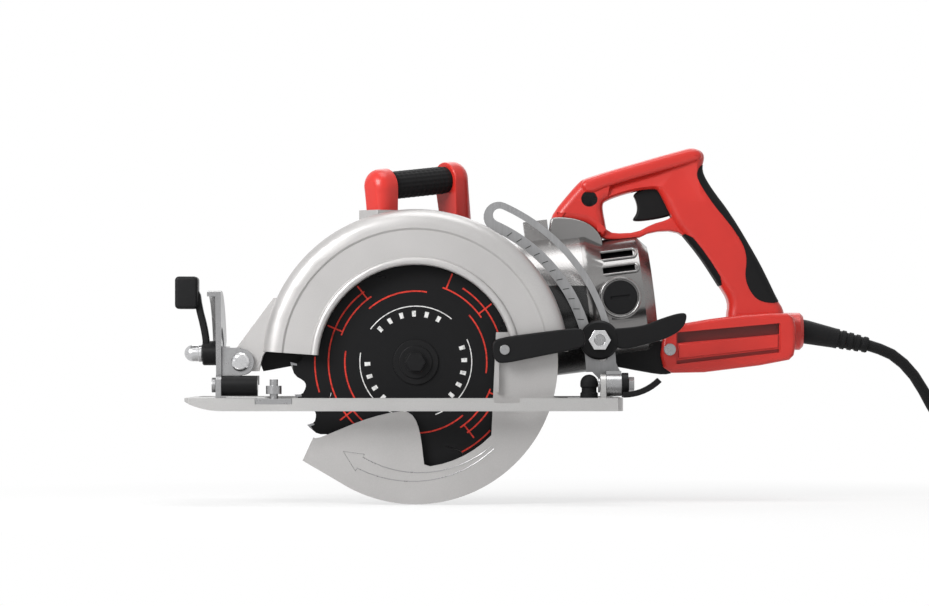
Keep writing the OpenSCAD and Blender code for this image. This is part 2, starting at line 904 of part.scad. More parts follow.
module armature_bearing() {
    color([0.8, 0.8, 0.8])
    in_motor()
        difference() {
            rod_x(armature_bearing_r, rear_bearing_x, rear_bearing_x + bearing_w);
            rod_x(rotor_shaft_r + fit, rear_bearing_x - cut, rear_bearing_x + bearing_w + cut);
        }
}

// Motor: casing, end bell, stator, armature, fan and brushes
module motor_housing() {
    color([0.74, 0.74, 0.73])
    difference() {
        union() {
            in_motor()
                rod_x(motor_r, bell_end, casing_end);
            in_motor()
                translate([saddle_x, -saddle_half, 0])
                    cube([saddle_len, saddle_half + saddle_half, motor_r + saddle_rise]);
        }
        in_motor()
            rod_x(motor_r - motor_wall, bell_end - cut, casing_end + cut);
    }
}

module brush_places() {
    for (side = [-1, 1])
        in_motor()
            translate([brush_x, 0, 0])
                rotate([0, 0, side < 0 ? 0 : 180])
                    children();
}

module bell_section(shrink) {
    polygon([[0, casing_end], [motor_r - shrink, casing_end], [motor_r - shrink, casing_end + bell_step / 2],
        [bell_mid_r - shrink, casing_end + bell_step + bell_step], [bell_mid_r - shrink, bell_tail - bell_step],
        [bell_tail_r - shrink, bell_tail - shrink], [0, bell_tail - shrink]]);
}

module end_bell() {
    color([0.72, 0.72, 0.71])
    difference() {
        union() {
            in_motor()
                rotate([0, 90, 0])
                    rotate_extrude()
                        bell_section(0);
            brush_places()
                rod_y(brush_boss_r, -brush_boss_face, -commutator_r - brush_h);
            translate([clamp_x, 0, clamp_z])
                rod_y(lug_r, blade_y + link_face + link_t + gap, motor_y - brush_boss_r - brush_h);
        }
        in_motor() {
            rod_x(motor_r + gap, bell_start, casing_end);
            difference() {
                rotate([0, 90, 0])
                    rotate_extrude()
                        bell_section(motor_wall);
                rod_x(armature_bearing_r + motor_wall, rear_bearing_x - motor_wall, bell_tail);
            }
            rod_x(motor_r - motor_wall, casing_end - cut, casing_end + bell_step / 2);
            rod_x(armature_bearing_r, rear_bearing_x - motor_wall - cut, rear_bearing_x + bearing_w);
            for (lift = vent_lifts)
                translate([vent_start, -motor_r - motor_r, lift - vent_w / 2])
                    cube([vent_end - vent_start, motor_r * 4, vent_w]);
        }
        brush_places() {
            rod_y(brush_cap_r + gap, -brush_boss_face - cut, -brush_boss_face + brush_cap_h);
            translate([-brush_w / 2 - fit, -brush_boss_face, -brush_h / 2 - fit])
                cube([brush_w + fit + fit, brush_boss_face, brush_h + fit + fit]);
        }
        translate([clamp_x, 0, clamp_z])
            rod_y(clamp_d / 2, blade_y, blade_y + link_face + link_t + bolt_tail);
    }
}

module brush_caps() {
    color([0.1, 0.1, 0.1])
    brush_places()
        difference() {
            rod_y(brush_cap_r, -brush_boss_face - cap_slot_h, -brush_boss_face + brush_cap_h);
            translate([-cap_slot_len / 2, -brush_boss_face - cap_slot_h - cut, -cap_slot_w / 2])
                cube([cap_slot_len, cap_slot_h + cut, cap_slot_w]);
        }
}

module carbon_brushes() {
    color([0.2, 0.2, 0.2])
    brush_places()
        translate([-brush_w / 2, -brush_boss_face + brush_cap_h, -brush_h / 2])
            cube([brush_w, brush_boss_face - brush_cap_h - commutator_r - gap, brush_h]);
}

module stator() {
    color([0.45, 0.45, 0.47])
    in_motor()
        difference() {
            rod_x(motor_r - motor_wall, stator_start, stator_end);
            rod_x(stator_bore_r, stator_start - cut, stator_end + cut);
        }
}

module armature_shaft() {
    color([0.62, 0.62, 0.62])
    in_motor()
        rod_x(rotor_shaft_r, mesh_x + worm_half_len, rear_bearing_x + bearing_w - gap);
}

module armature_core() {
    color([0.5, 0.42, 0.3])
    in_motor()
        difference() {
            rod_x(core_r, core_start, core_end);
            rod_x(rotor_shaft_r, core_start - cut, core_end + cut);
            for (i = [0:core_slots - 1])
                rotate([360 * i / core_slots, 0, 0])
                    translate([core_start - cut, core_r - core_slot_w, -core_slot_w / 2])
                        cube([core_end - core_start + cut + cut, core_slot_w + cut, core_slot_w]);
        }
}

module commutator() {
    color([0.72, 0.45, 0.2])
    in_motor()
        difference() {
            rod_x(commutator_r, commutator_start, commutator_end);
            rod_x(rotor_shaft_r, commutator_start - cut, commutator_end + cut);
        }
}

module fan() {
    color([0.2, 0.2, 0.2])
    in_motor()
        difference() {
            union() {
                rod_x(fan_r, fan_start, fan_start + fan_plate_h);
                rod_x(fan_hub_r, fan_start, fan_end);
                for (i = [0:fan_blades - 1])
                    rotate([360 * i / fan_blades, 0, 0])
                        translate([fan_start, fan_hub_r - cut, -fan_blade_t / 2])
                            cube([fan_end - fan_start, fan_r - fan_hub_r, fan_blade_t]);
            }
            rod_x(rotor_shaft_r, fan_start - cut, fan_end + cut);
        }
}

// Depth link: slotted arc on the blade side of the motor
module link_outline() {
    half = (strip_out - strip_in) / 2;
    translate([link_x, link_z])
        polygon(concat(
            arc(0, 0, link_r + slot_w / 2 + strip_out, link_from, slot_to, 32),
            arc((link_r + half) * cos(slot_to), (link_r + half) * sin(slot_to), (slot_w + strip_out + strip_in) / 2,
                slot_to, slot_to + 180, 12),
            arc(0, 0, link_r - slot_w / 2 - strip_in, slot_to, link_from, 32)));
    hull() {
        translate([foot_x, foot_z])
            circle(r = foot_r, $fn = 32);
        translate([link_x, link_z])
            rotate([0, 0, link_from + slot_from / 2])
                translate([link_r + half, 0])
                    circle(r = foot_r + strip_out / 2, $fn = 32);
    }
}

module link_slot() {
    translate([link_x, link_z])
        polygon(slot_points(link_r + slot_shift, slot_w, slot_from, slot_to, 32));
}

module depth_link() {
    color([0.72, 0.72, 0.72])
    difference() {
        plate_y(blade_y + link_face, blade_y + link_face + link_t)
            link_outline();
        plate_y(blade_y + link_face - cut, blade_y + link_face + link_t + cut)
            link_slot();
        translate([foot_x, 0, foot_z])
            rod_y(foot_pin_r + fit, blade_y + link_face - cut, blade_y + link_face + link_t + cut);
    }
}

module depth_bolt() {
    color([0.7, 0.7, 0.7])
    translate([clamp_x, 0, clamp_z])
        rod_y(clamp_d / 2, blade_y + link_face - hub_h - nut_h, blade_y + link_face + link_t + bolt_tail);
}

module depth_nut() {
    color([0.82, 0.82, 0.82])
    translate([clamp_x, blade_y + link_face - hub_h - nut_h, clamp_z])
        rotate([-90, 0, 0])
            difference() {
                cylinder(r = nut_r, h = nut_h, $fn = 6);
                translate([0, 0, -cut])
                    cylinder(r = clamp_d / 2 + fit, h = nut_h + cut + cut);
            }
}

module depth_lever() {
    color([0.1, 0.1, 0.1])
    translate([clamp_x, 0, clamp_z])
        difference() {
            union() {
                rod_y(clamp_hub_r, blade_y + link_face - hub_h, blade_y + link_face - gap);
                plate_y(blade_y + link_face - hub_h, blade_y + link_face - hub_h + paddle_t)
                    polygon(scaled(paddle_shares, paddle_len, paddle_rise));
            }
            rod_y(clamp_d / 2 + fit, blade_y, blade_y + link_face + cut);
        }
}

// Front hinge of the shoe
module front_clevis() {
    color([0.75, 0.75, 0.75])
    difference() {
        union() {
            for (y = [blade_y - gusset_half - gap - cheek_t, blade_y + gusset_half + gap])
                plate_y(y, y + cheek_t) {
                    translate([pivot_x, arbor_z])
                        circle(r = cheek_r);
                    translate([pivot_x - clevis_front, arbor_z - clevis_low])
                        square([clevis_front, clevis_low + clevis_high - cut]);
                }
            translate([pivot_x - clevis_front, blade_y - gusset_half - gap - cheek_t, arbor_z - clevis_low])
                cube([clevis_back_t, bevel_off + stud_off + lever_hub_r + cheek_t - gusset_half,
                    clevis_low + clevis_high]);
        }
        translate([pivot_x, 0, arbor_z])
            rod_y(pin_r + fit, bevel_y - cut, blade_y + stud_off);
        translate([0, bevel_y + stud_off, stud_z])
            rod_x(stud_r, pivot_x - clevis_front - cut, pivot_x);
    }
}

module depth_pin() {
    color([0.8, 0.8, 0.8])
    translate([pivot_x, 0, arbor_z]) {
        half = gusset_half + gap + cheek_t;
        rod_y(pin_r, blade_y - half - rivet_head_h, blade_y + half + rivet_head_h);
        rod_y(pin_r + rivet_head_h + rivet_head_h, blade_y - half - screw_head_h, blade_y - half);
        rod_y(pin_r + rivet_head_h, blade_y + half, blade_y + half + rivet_head_h);
    }
}

trunnion_x = pivot_x - clevis_front;

module front_trunnion() {
    color([0.1, 0.1, 0.1])
    difference() {
        union() {
            translate([0, bevel_y, bevel_z])
                rod_x(barrel_r, trunnion_x, trunnion_x + trunnion_len);
            translate([trunnion_x, bevel_y, bevel_z])
                cube([trunnion_len, bevel_off + stud_off / 2, arbor_z - clevis_low - bevel_z + cut]);
        }
        translate([trunnion_x - cut, bevel_y - barrel_r - cut, arbor_z - clevis_low])
            cube([trunnion_len + cut + cut, bevel_off + stud_off + barrel_r, barrel_r]);
        translate([0, bevel_y, bevel_z])
            rod_x(pin_r, trunnion_x - cut, trunnion_x + trunnion_len + cut);
        translate([pivot_x, blade_y, arbor_z])
            rod_y(cheek_r + gap, -gusset_half - gap, gusset_half + gap);
    }
}

module bevel_stud() {
    color([0.8, 0.8, 0.8])
    translate([0, bevel_y + stud_off, stud_z]) {
        nut_x = trunnion_x - gap - quadrant_t - gap - lever_hub_len - gap;
        rod_x(stud_r, nut_x, trunnion_x + clevis_back_t);
        rod_x(dome_r, nut_x - dome_len + dome_r, nut_x);
        translate([nut_x - dome_len + dome_r, 0, 0])
            sphere(r = dome_r);
    }
}

module bevel_pins() {
    color([0.8, 0.8, 0.8])
    translate([0, bevel_y, bevel_z]) {
        rod_x(pin_r, trunnion_x - gap - quadrant_t - rivet_head_h, trunnion_x + trunnion_len);
        rod_x(pin_r + rivet_head_h, trunnion_x - gap - quadrant_t - gap - rivet_head_h - rivet_head_h,
            trunnion_x - gap - quadrant_t - gap);
        rod_x(pin_r, rear_ear_x - rivet_head_h, rear_arm_x + rear_lever_t);
        rod_x(pin_r + rivet_head_h, rear_ear_x - gap - rivet_head_h, rear_ear_x - gap);
        translate([rear_arm_x + rear_lever_t + gap, 0, 0])
            rotate([0, 90, 0])
                cylinder(r = rear_nut_r, h = rear_nut_h, $fn = 6);
        rod_x(pin_r, rear_end, rear_arm_x + rear_lever_t + gap + rear_nut_h);
    }
}

quadrant_x = trunnion_x - gap - quadrant_t;
stud_turn_r = norm([stud_off, stud_z - bevel_z]);
stud_angle = atan2(stud_z - bevel_z, stud_off);

module quadrant_sector(r) {
    polygon(concat([[0, 0]], arc(0, 0, r, quadrant_low_angle, quadrant_high_angle, 24)));
}

module bevel_quadrant() {
    color([0.78, 0.78, 0.78])
    translate([0, bevel_y, bevel_z])
        difference() {
            union() {
                plate_x(quadrant_x + quadrant_t - quadrant_rim, quadrant_x + quadrant_t)
                    quadrant_sector(quadrant_r);
                plate_x(quadrant_x, quadrant_x + quadrant_t) {
                    circle(r = barrel_r);
                    translate([-barrel_r, shoe_t - bevel_z])
                        square([stud_off + stud_off, bevel_z - shoe_t + barrel_r / 2]);
                }
            }
            plate_x(quadrant_x + quadrant_t - quadrant_rim - cut, quadrant_x)
                circle(r = quadrant_r - quadrant_rim_t);
            rod_x(pin_r + fit, quadrant_x - cut, quadrant_x + quadrant_t + cut);
            plate_x(quadrant_x - cut, quadrant_x + quadrant_t + cut)
                polygon(slot_points(stud_turn_r, (stud_r + gap) * 2, stud_angle, stud_angle + bevel_travel, 16));
        }
}

module front_bevel_lever() {
    color([0.08, 0.08, 0.08])
    translate([quadrant_x - gap - lever_hub_len, bevel_y + stud_off, stud_z])
        difference() {
            union() {
                rod_x(lever_hub_r, 0, lever_hub_len);
                plate_y(-bevel_stem_w / 2, bevel_stem_w / 2)
                    polygon([[0, 0], [lever_hub_t, 0], [lever_hub_t, lever_hub_r],
                        [lever_hub_t - bevel_lean, bevel_lever_h], [-bevel_lean, bevel_lever_h], [0, lever_hub_r]]);
                translate([-bevel_pad_ahead, -bevel_pad_t / 2, bevel_lever_h - lever_hub_len])
                    cube([bevel_pad_w, bevel_pad_t, bevel_pad_h]);
            }
            rod_x(stud_r + gap, -cut, lever_hub_len + cut);
        }
}

// Rear hinge of the shoe and the foot of the depth link
rear_start = rear_ear_x + rear_ear_t + gap;
rear_end = rear_start + rear_barrel_len;
rear_arm_x = max(rear_end, shoe_rear) + gap;

module rear_bracket() {
    color([0.7, 0.7, 0.7])
    difference() {
        union() {
            translate([0, bevel_y, bevel_z])
                rod_x(barrel_r, rear_start, rear_end);
            translate([rear_start, bevel_y, bevel_z - foot_pin_r - foot_pin_r])
                cube([rear_barrel_len, bevel_off + link_face + link_t + gap + foot_cheek_t,
                    foot_z - bevel_z + foot_r + foot_pin_r + foot_pin_r]);
        }
        translate([0, bevel_y, bevel_z])
            rod_x(pin_r, rear_start - cut, rear_end + cut);
        translate([rear_start - cut, blade_y + link_face - gap, foot_z - foot_r - gap - gap])
            cube([rear_barrel_len + cut + cut, link_t + gap + gap, foot_r * 4]);
        translate([foot_x, 0, foot_z])
            rod_y(foot_pin_r, bevel_y, blade_y + link_face + link_t + foot_cheek_t + cut);
    }
}

module link_pin() {
    color([0.8, 0.8, 0.8])
    translate([foot_x, 0, foot_z])
        rod_y(foot_pin_r, blade_y + link_face - foot_width, blade_y + link_face + link_t + gap + foot_cheek_t);
}

module rear_bevel_lever() {
    color([0.1, 0.1, 0.1])
    translate([0, bevel_y, bevel_z])
        difference() {
            union() {
                rod_x(lever_hub_r, rear_end + gap, rear_arm_x + rear_lever_t);
                plate_y(-rear_lever_w - lever_hub_r, -lever_hub_r + rear_lever_t)
                    polygon(concat(
                        arc(rear_arm_x, rear_lever_len, rear_lever_len + lever_hub_r, rear_sweep_from, rear_sweep_to, 8),
                        arc(rear_arm_x, rear_lever_len, rear_lever_len + lever_hub_r - rear_lever_t,
                            rear_sweep_to, rear_sweep_from, 8)));
            }
            rod_x(pin_r + gap, rear_end - cut, rear_arm_x + rear_lever_t + cut);
        }
}

module bumper() {
    color([0.1, 0.1, 0.1])
    translate([bumper_x, blade_y, shoe_t]) {
        cylinder(r = bumper_r, h = bumper_h - bumper_r);
        translate([0, 0, bumper_h - bumper_r])
            sphere(r = bumper_r);
    }
}

// Shoe: flat sole with a rim, a closed blade window and a curved nose
module rounded(from, size, r) {
    translate(from) {
        translate([r, 0])
            square([size[0] - r - r, size[1]]);
        translate([0, r])
            square([size[0], size[1] - r - r]);
        for (x = [r, size[0] - r], y = [r, size[1] - r])
            translate([x, y])
                circle(r = r);
    }
}

window_from = blade_y - rail_gap;
window_to = blade_y + window_right;

module shoe_plan(inset) {
    rounded([-shoe_front + inset, rail_y + inset],
        [shoe_front + shoe_rear - inset - inset, pad_y - rail_y - inset - inset], shoe_corner_r - inset);
}

module window_plan(grow) {
    rounded([-window_front - grow, window_from - grow],
        [window_front + window_rear + grow + grow, window_to - window_from + grow + grow], window_corner_r);
}

module shoe() {
    color([0.68, 0.67, 0.66])
    difference() {
        union() {
            linear_extrude(sole_t)
                shoe_plan(0);
            linear_extrude(shoe_t)
                difference() {
                    shoe_plan(0);
                    shoe_plan(rim_w);
                }
            linear_extrude(shoe_t)
                window_plan(rim_w);
            translate([-shoe_front + rim_w, rail_y, 0])
                cube([shoe_front - window_front - rim_w, bevel_off + rail_gap + stud_off + stud_off, shoe_t]);
            translate([window_rear, rail_y, 0])
                cube([shoe_rear - window_rear - rim_w, window_to - rail_y, shoe_t]);
            for (x = rib_steps)
                translate([x - rib_w / 2, window_to, 0])
                    cube([rib_w, pad_y - window_to, shoe_t - cut]);
            translate([0, bevel_y, 0])
                plate_x(rear_ear_x, rear_ear_x + rear_ear_t) {
                    translate([0, bevel_z])
                        circle(r = barrel_r);
                    translate([-barrel_r, 0])
                        square([barrel_r + barrel_r, bevel_z]);
                }
        }
        translate([0, 0, -cut])
            linear_extrude(shoe_t + cut + cut)
                window_plan(0);
        nose_cut();
        translate([fence_slot_x, rail_y - cut, shoe_t - fence_slot_h])
            cube([fence_slot_w, rail_w + cut, fence_slot_h + cut]);
        translate([rail_notch_x, rail_y - cut, shoe_t - rail_notch_h])
            cube([rail_notch_w, rail_w + cut + cut, rail_notch_h + cut]);
        translate([0, bevel_y, bevel_z])
            rod_x(pin_r + fit, rear_ear_x - cut, rear_ear_x + rear_ear_t + cut);
    }
}

module nose_cut() {
    bend_r = (nose_len * nose_len + nose_rise * nose_rise) / (2 * nose_rise);
    difference() {
        translate([-shoe_front - cut, rail_y - cut, -cut])
            cube([nose_len + cut, pad_y - rail_y + cut + cut, nose_rise + cut]);
        translate([-shoe_front + nose_len, 0, bend_r])
            rod_y(bend_r, rail_y - cut - cut, pad_y + cut + cut);
    }
}

module fence_clamp() {
    color([0.76, 0.76, 0.76])
    translate([fence_slot_x, rail_y, shoe_t - fence_slot_h]) {
        translate([gap, gap, 0])
            cube([fence_slot_w - gap - gap, rail_w - gap - gap, clamp_bar_h]);
        translate([fence_slot_w / 2, rail_w / 2, 0]) {
            cylinder(r = thumb_r, h = clamp_bar_w);
            translate([0, 0, fence_slot_h + thumb_r])
                cylinder(r = thumb_head_r - gap, h = thumb_head_h);
        }
    }
}

// Top handle over the guard, turned across the saw
module in_top() {
    translate([0, blade_y + top_y, top_z])
        rotate([0, 0, top_turn])
            rotate([0, -top_rise, 0])
                children();
}

foot_gap = [21, 26];
pillar_drop = 60;
pillar_low = 20;

module foot_place(side) {
    x = side * (grip_len + bracket_t) / 2;
    translate([x * cos(top_turn), blade_y + top_y + x * sin(top_turn), top_z - (side < 0 ? foot_gap[0] : foot_gap[1])])
        rotate([0, 0, top_turn])
            children();
}

module bracket_side(side) {
    hull() {
        in_top()
            translate([side * (grip_len + bracket_t) / 2 - bracket_t / 2, 0, 0])
                rotate([0, 90, 0])
                    cylinder(r = bracket_end_r, h = bracket_t, $fn = 32);
        foot_place(side)
            translate([-bracket_t / 2, -bracket_w / 2, 0])
                cube([bracket_t, bracket_w, cut]);
    }
}

module top_handle() {
    color([0.84, 0.2, 0.18])
    difference() {
        union() {
            bracket_side(-1);
            bracket_side(1);
        }
        top_grip();
    }
}

module top_grip() {
    color([0.1, 0.1, 0.1])
    in_top()
        rod_x(grip_r, -grip_len / 2, grip_len / 2);
}

// Rear handle in two shells, with soft grips, trigger and switch
module handle_area(shares) {
    translate([handle_x, handle_z])
        polygon(scaled(shares, handle_len, handle_h));
}

module handle_side(side) {
    for (s = round_steps)
        translate([0, motor_y, 0])
            plate_y(side < 0 ? -handle_half * (1 - round_h_share * (1 - s[0])) : 0,
                side < 0 ? 0 : handle_half * (1 - round_h_share * (1 - s[0])))
                offset(delta = -s[1])
                    difference() {
                        handle_area(handle_shares);
                        handle_area(finger_shares);
                    }
}

module base_side(side) {
    translate([0, motor_y, 0])
        difference() {
            plate_y(side < 0 ? -base_half : 0, side < 0 ? 0 : base_half)
                handle_area(base_shares);
            plate_y(side < 0 ? -base_half - cut : base_half - panel_depth,
                side < 0 ? panel_depth - base_half : base_half + cut)
                handle_area(panel_shares);
        }
}

module handle_point(shares) {
    translate([handle_x + shares[0] * handle_len, motor_y, handle_z + shares[1] * handle_h])
        children();
}

module handle_shell(side) {
    difference() {
        union() {
            handle_side(side);
            base_side(side);
            intersection() {
                translate([handle_x + handle_len, motor_y, handle_z + cord_exit_share * handle_h])
                    rod_x(cord_boss_r, -cord_boss_start - cord_boss_r, 0);
                translate([handle_x, side < 0 ? motor_y - handle_len : motor_y, handle_z])
                    cube([handle_len + cut, handle_len, handle_h]);
            }
        }
        translate([0, motor_y, 0])
            plate_y(-handle_len, handle_len) {
                handle_area(rear_grip_shares);
                handle_area(inner_grip_shares);
            }
        in_motor() {
            rod_x(motor_r + gap, 0, casing_end + bell_step / 2 + gap);
            rotate([0, 90, 0])
                rotate_extrude()
                    bell_section(-gap);
            translate([saddle_x - gap, -saddle_half - gap, 0])
                cube([saddle_len + gap + gap, saddle_half + saddle_half + gap + gap, motor_r + saddle_rise]);
        }
        translate([handle_x + pocket_from_share * handle_len, motor_y - trigger_w / 2 - trigger_room,
            handle_z + pocket_low_share * handle_h])
            cube([(pocket_to_share - pocket_from_share) * handle_len, trigger_w + trigger_room * 2,
                (pocket_high_share - pocket_low_share) * handle_h]);
        switch_box();
        handle_point(trigger_pivot_shares)
            rod_y(trigger_pin_r + fit, -trigger_w / 2 - trigger_pin_h - gap, trigger_w / 2 + trigger_pin_h + gap);
        handle_screw_places()
            screw_room();
        tongue_screw_place()
            translate([0, 0, -tongue_screw_len])
                cylinder(r = screw_r, h = tongue_screw_len + cut);
        handle_point(pivot_shares)
            rod_y(handle_pivot_r, -handle_len, handle_len);
        boot_place()
            rod_x(boot_root_r, -boot_root_len - boot_root_len, handle_len);
    }
}

module handle_left() {
    color([0.84, 0.2, 0.18])
    handle_shell(-1);
}

module handle_right() {
    color([0.84, 0.2, 0.18])
    handle_shell(1);
}

module rear_grip() {
    color([0.1, 0.1, 0.1])
    translate([0, motor_y, 0])
        plate_y(-handle_half, handle_half)
            handle_area(rear_grip_shares);
}

module inner_grip() {
    color([0.1, 0.1, 0.1])
    translate([0, motor_y, 0])
        plate_y(-handle_half, handle_half)
            handle_area(inner_grip_shares);
}

module switch_box() {
    handle_point(switch_shares)
        rotate([0, -switch_lean, 0])
            translate([-switch_len / 2, -switch_half, -switch_h / 2])
                cube([switch_len, switch_half * 2, switch_h]);
}

module switch_body() {
    color([0.15, 0.15, 0.15])
    switch_box();
}

module handle_pivot() {
    color([0.08, 0.08, 0.08])
    handle_point(pivot_shares)
        rod_y(handle_pivot_r, -handle_half, handle_half);
}

module trigger() {
    color([0.1, 0.1, 0.1]) {
        translate([0, motor_y, 0])
            plate_y(-trigger_w / 2, trigger_w / 2)
                handle_area(trigger_shares);
        handle_point(trigger_pivot_shares)
            rod_y(trigger_pin_r, -trigger_w / 2 - trigger_pin_h, trigger_w / 2 + trigger_pin_h);
    }
}

module screw_room() {
    translate([0, 0, -handle_screw_len])
        cylinder(r = screw_r, h = handle_screw_len + cut);
    cylinder(r = screw_head_r + gap, h = handle_half);
}

module screw(len) {
    cylinder(r = screw_head_r, h = screw_head_h);
    translate([0, 0, -len])
        cylinder(r = screw_r, h = len + cut);
}

module handle_screw_places() {
    for (p = handle_screw_shares)
        handle_point(p)
            translate([0, screw_seat, 0])
                rotate([-90, 0, 0])
                    children();
}

module tongue_screw_place() {
    handle_point(tongue_screw_shares)
        translate([0, -base_half, 0])
            rotate([90, 0, 0])
                children();
}

module housing_screws() {
    color([0.8, 0.8, 0.8]) {
        guard_screw_places()
            translate([0, blade_y + guard_back - guard_wall, 0])
                rotate([90, 0, 0])
                    screw(guard_wall + case_flange_h);
        handle_screw_places()
            screw(handle_screw_len);
        tongue_screw_place()
            screw(tongue_screw_len);
    }
}

// Strain relief, lead, coil, tie and plug
module boot_place() {
    translate([handle_x + handle_len, motor_y, handle_z + cord_exit_share * handle_h])
        rotate([0, boot_dip, 0])
            children();
}

module strain_relief() {
    color([0.1, 0.1, 0.1])
    boot_place()
        difference() {
            union() {
                rod_x(boot_root_r, -boot_root_len, 0);
                rotate([0, 90, 0])
                    cylinder(r1 = boot_r, r2 = boot_end_r, h = boot_len);
            }
            rod_x(cord_d / 2, boot_len - cord_d, boot_len + cut);
        }
}

function side_of(path, i) =
    let (a = path[max(0, i - 1)], b = path[min(len(path) - 1, i + 1)]) (b - a) / norm(b - a);
function ring(centre, along, r, sides, up) =
    let (u = cross(up, along), v = u / norm(u), w = cross(along, v))
        [for (k = [0:sides - 1]) centre + r * (cos(360 * k / sides) * v + sin(360 * k / sides) * w)];

module sweep(path, r, sides, up) {
    last = len(path) - 1;
    points = [for (i = [0:last]) each ring(path[i], side_of(path, i), r, sides, up)];
    walls = [for (i = [0:last - 1], k = [0:sides - 1])
        let (a = i * sides + k, b = i * sides + (k + 1) % sides) each [[a, b + sides, b], [a, a + sides, b + sides]]];
    front = [for (k = [1:sides - 2]) [0, k, k + 1]];
    back = [for (k = [1:sides - 2]) [last * sides, last * sides + k + 1, last * sides + k]];
    polyhedron(points, concat(walls, front, back));
}

boot_root = [handle_x + handle_len, motor_y, handle_z + cord_exit_share * handle_h];
boot_way = [cos(boot_dip), 0, -sin(boot_dip)];

module cord() {
    color([0.08, 0.08, 0.08])
    sweep(concat([boot_root + boot_way * (boot_len - cord_d), boot_root + boot_way * boot_len], cord_route),
        cord_d / 2, cord_sides, [0, 1, 0]);
}

coil_in_r = coil_r - coil_turns * coil_step;
coil_total = coil_turns * 2 + 0.5;

function coil_radius(t) =
    t < coil_turns ? coil_r - coil_step * t :
    t < coil_turns + 0.5 ? coil_in_r : coil_in_r + coil_step * (t - coil_turns - 0.5);
function coil_lift(t) =
    t < coil_turns ? 0 :
    t < coil_turns + 0.5 ? coil_step * (t - coil_turns) * 2 : coil_step;
function coil_point(t) =
    [coil_x + coil_radius(t) * sin(360 * t), coil_y + coil_radius(t) * cos(360 * t), coil_z + coil_lift(t)];
coil_path = concat(
    [for (i = [0:coil_total * coil_rings]) coil_point(i / coil_rings)],
    [coil_point(coil_total) - [coil_tail, 0, 0]]);

// Least room between turns of the coil, along the ways that the sides of its rings face
coil_loops = [for (i = [0:len(coil_path) - 1])
    ring(coil_path[i], side_of(coil_path, i), cord_d / 2, coil_sides, [0, 0, 1])];
function coil_reach(i, way) = max([for (p = coil_loops[i]) (p - coil_path[i]) * way]);
function coil_ways(i, j) = concat([coil_path[j] - coil_path[i]],
    [for (k = [0:coil_sides - 1]) coil_loops[i][k] + coil_loops[i][(k + 1) % coil_sides] - 2 * coil_path[i]]);
function coil_apart(i, j) = max([for (w = coil_ways(i, j)) let (way = w / norm(w))
    (coil_path[j] - coil_path[i]) * way - coil_reach(i, way) - coil_reach(j, -way)]);
coil_room = min([for (i = [0:len(coil_path) - 1], j = [0:len(coil_path) - 1])
    if (j - i > coil_rings / 2 && norm(coil_path[j] - coil_path[i]) < cord_d + cord_d) coil_apart(i, j)]);
echo(coil_room = coil_room);

module cord_coil() {
    color([0.08, 0.08, 0.08])
    sweep(coil_path, cord_d / 2, coil_sides, [0, 0, 1]);
}

module cord_tie() {
    color([0.15, 0.15, 0.15])
    translate([coil_x + coil_in_r - cord_d / 2 - tie_room, coil_y - tie_w / 2, floor_z]) {
        span = coil_r - coil_in_r + cord_d + tie_room * 2;
        rise = coil_z - floor_z + coil_step + cord_d / 2;
        translate([-tie_t, 0, rise])
            cube([span + tie_t * 2, tie_w, tie_t]);
        for (x = [-tie_t, span])
            translate([x, 0, 0])
                cube([tie_t, tie_w, rise + tie_t]);
    }
}

module plug() {
    color([0.1, 0.1, 0.1])
    translate(coil_path[len(coil_path) - 1])
        rotate([0, 0, 180]) {
            rod_x(plug_neck_r, 0, plug_len / 3);
            rod_x(plug_r, plug_len / 3, plug_len);
            for (y = [-prong_gap / 2, prong_gap / 2])
                translate([plug_len - cut, y - prong_t / 2, -prong_w / 2 + earth_r])
                    cube([prong_len + cut, prong_t, prong_w]);
            translate([0, 0, -prong_gap / 2])
                rod_x(earth_r, plug_len - cut, plug_len + earth_len);
        }
}

upper_guard();
gear_housing();
gear_cover();
motor_housing();
end_bell();
brush_caps();
carbon_brushes();
stator();
worm_bearings();
armature_bearing();
arbor_bearings();
top_handle();
top_grip();
handle_left();
handle_right();
rear_grip();
inner_grip();
switch_body();
handle_pivot();
depth_bolt();
housing_screws();
guard_spring();
guard_retainer();
strain_relief();
cord();
cord_coil();
cord_tie();
plug();
front_clevis();
front_trunnion();
depth_pin();
bevel_stud();
bevel_pins();
rear_bracket();
link_pin();
shoe();
bevel_quadrant();
fence_clamp();
bumper();
depth_link();
blade();
inner_flange();
outer_flange();
blade_bolt();
arbor_shaft();
worm_wheel();
armature_shaft();
armature_core();
commutator();
fan();
worm();
lower_guard();
lift_lever();
lever_rivets();
trigger();
depth_lever();
depth_nut();
front_bevel_lever();
rear_bevel_lever();
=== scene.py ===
"""Visible pieces of a worm drive circular saw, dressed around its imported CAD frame."""
import json
import math

import bmesh
import bpy
from bpy.props import FloatProperty, FloatVectorProperty, IntProperty, PointerProperty
from mathutils import Matrix, Vector


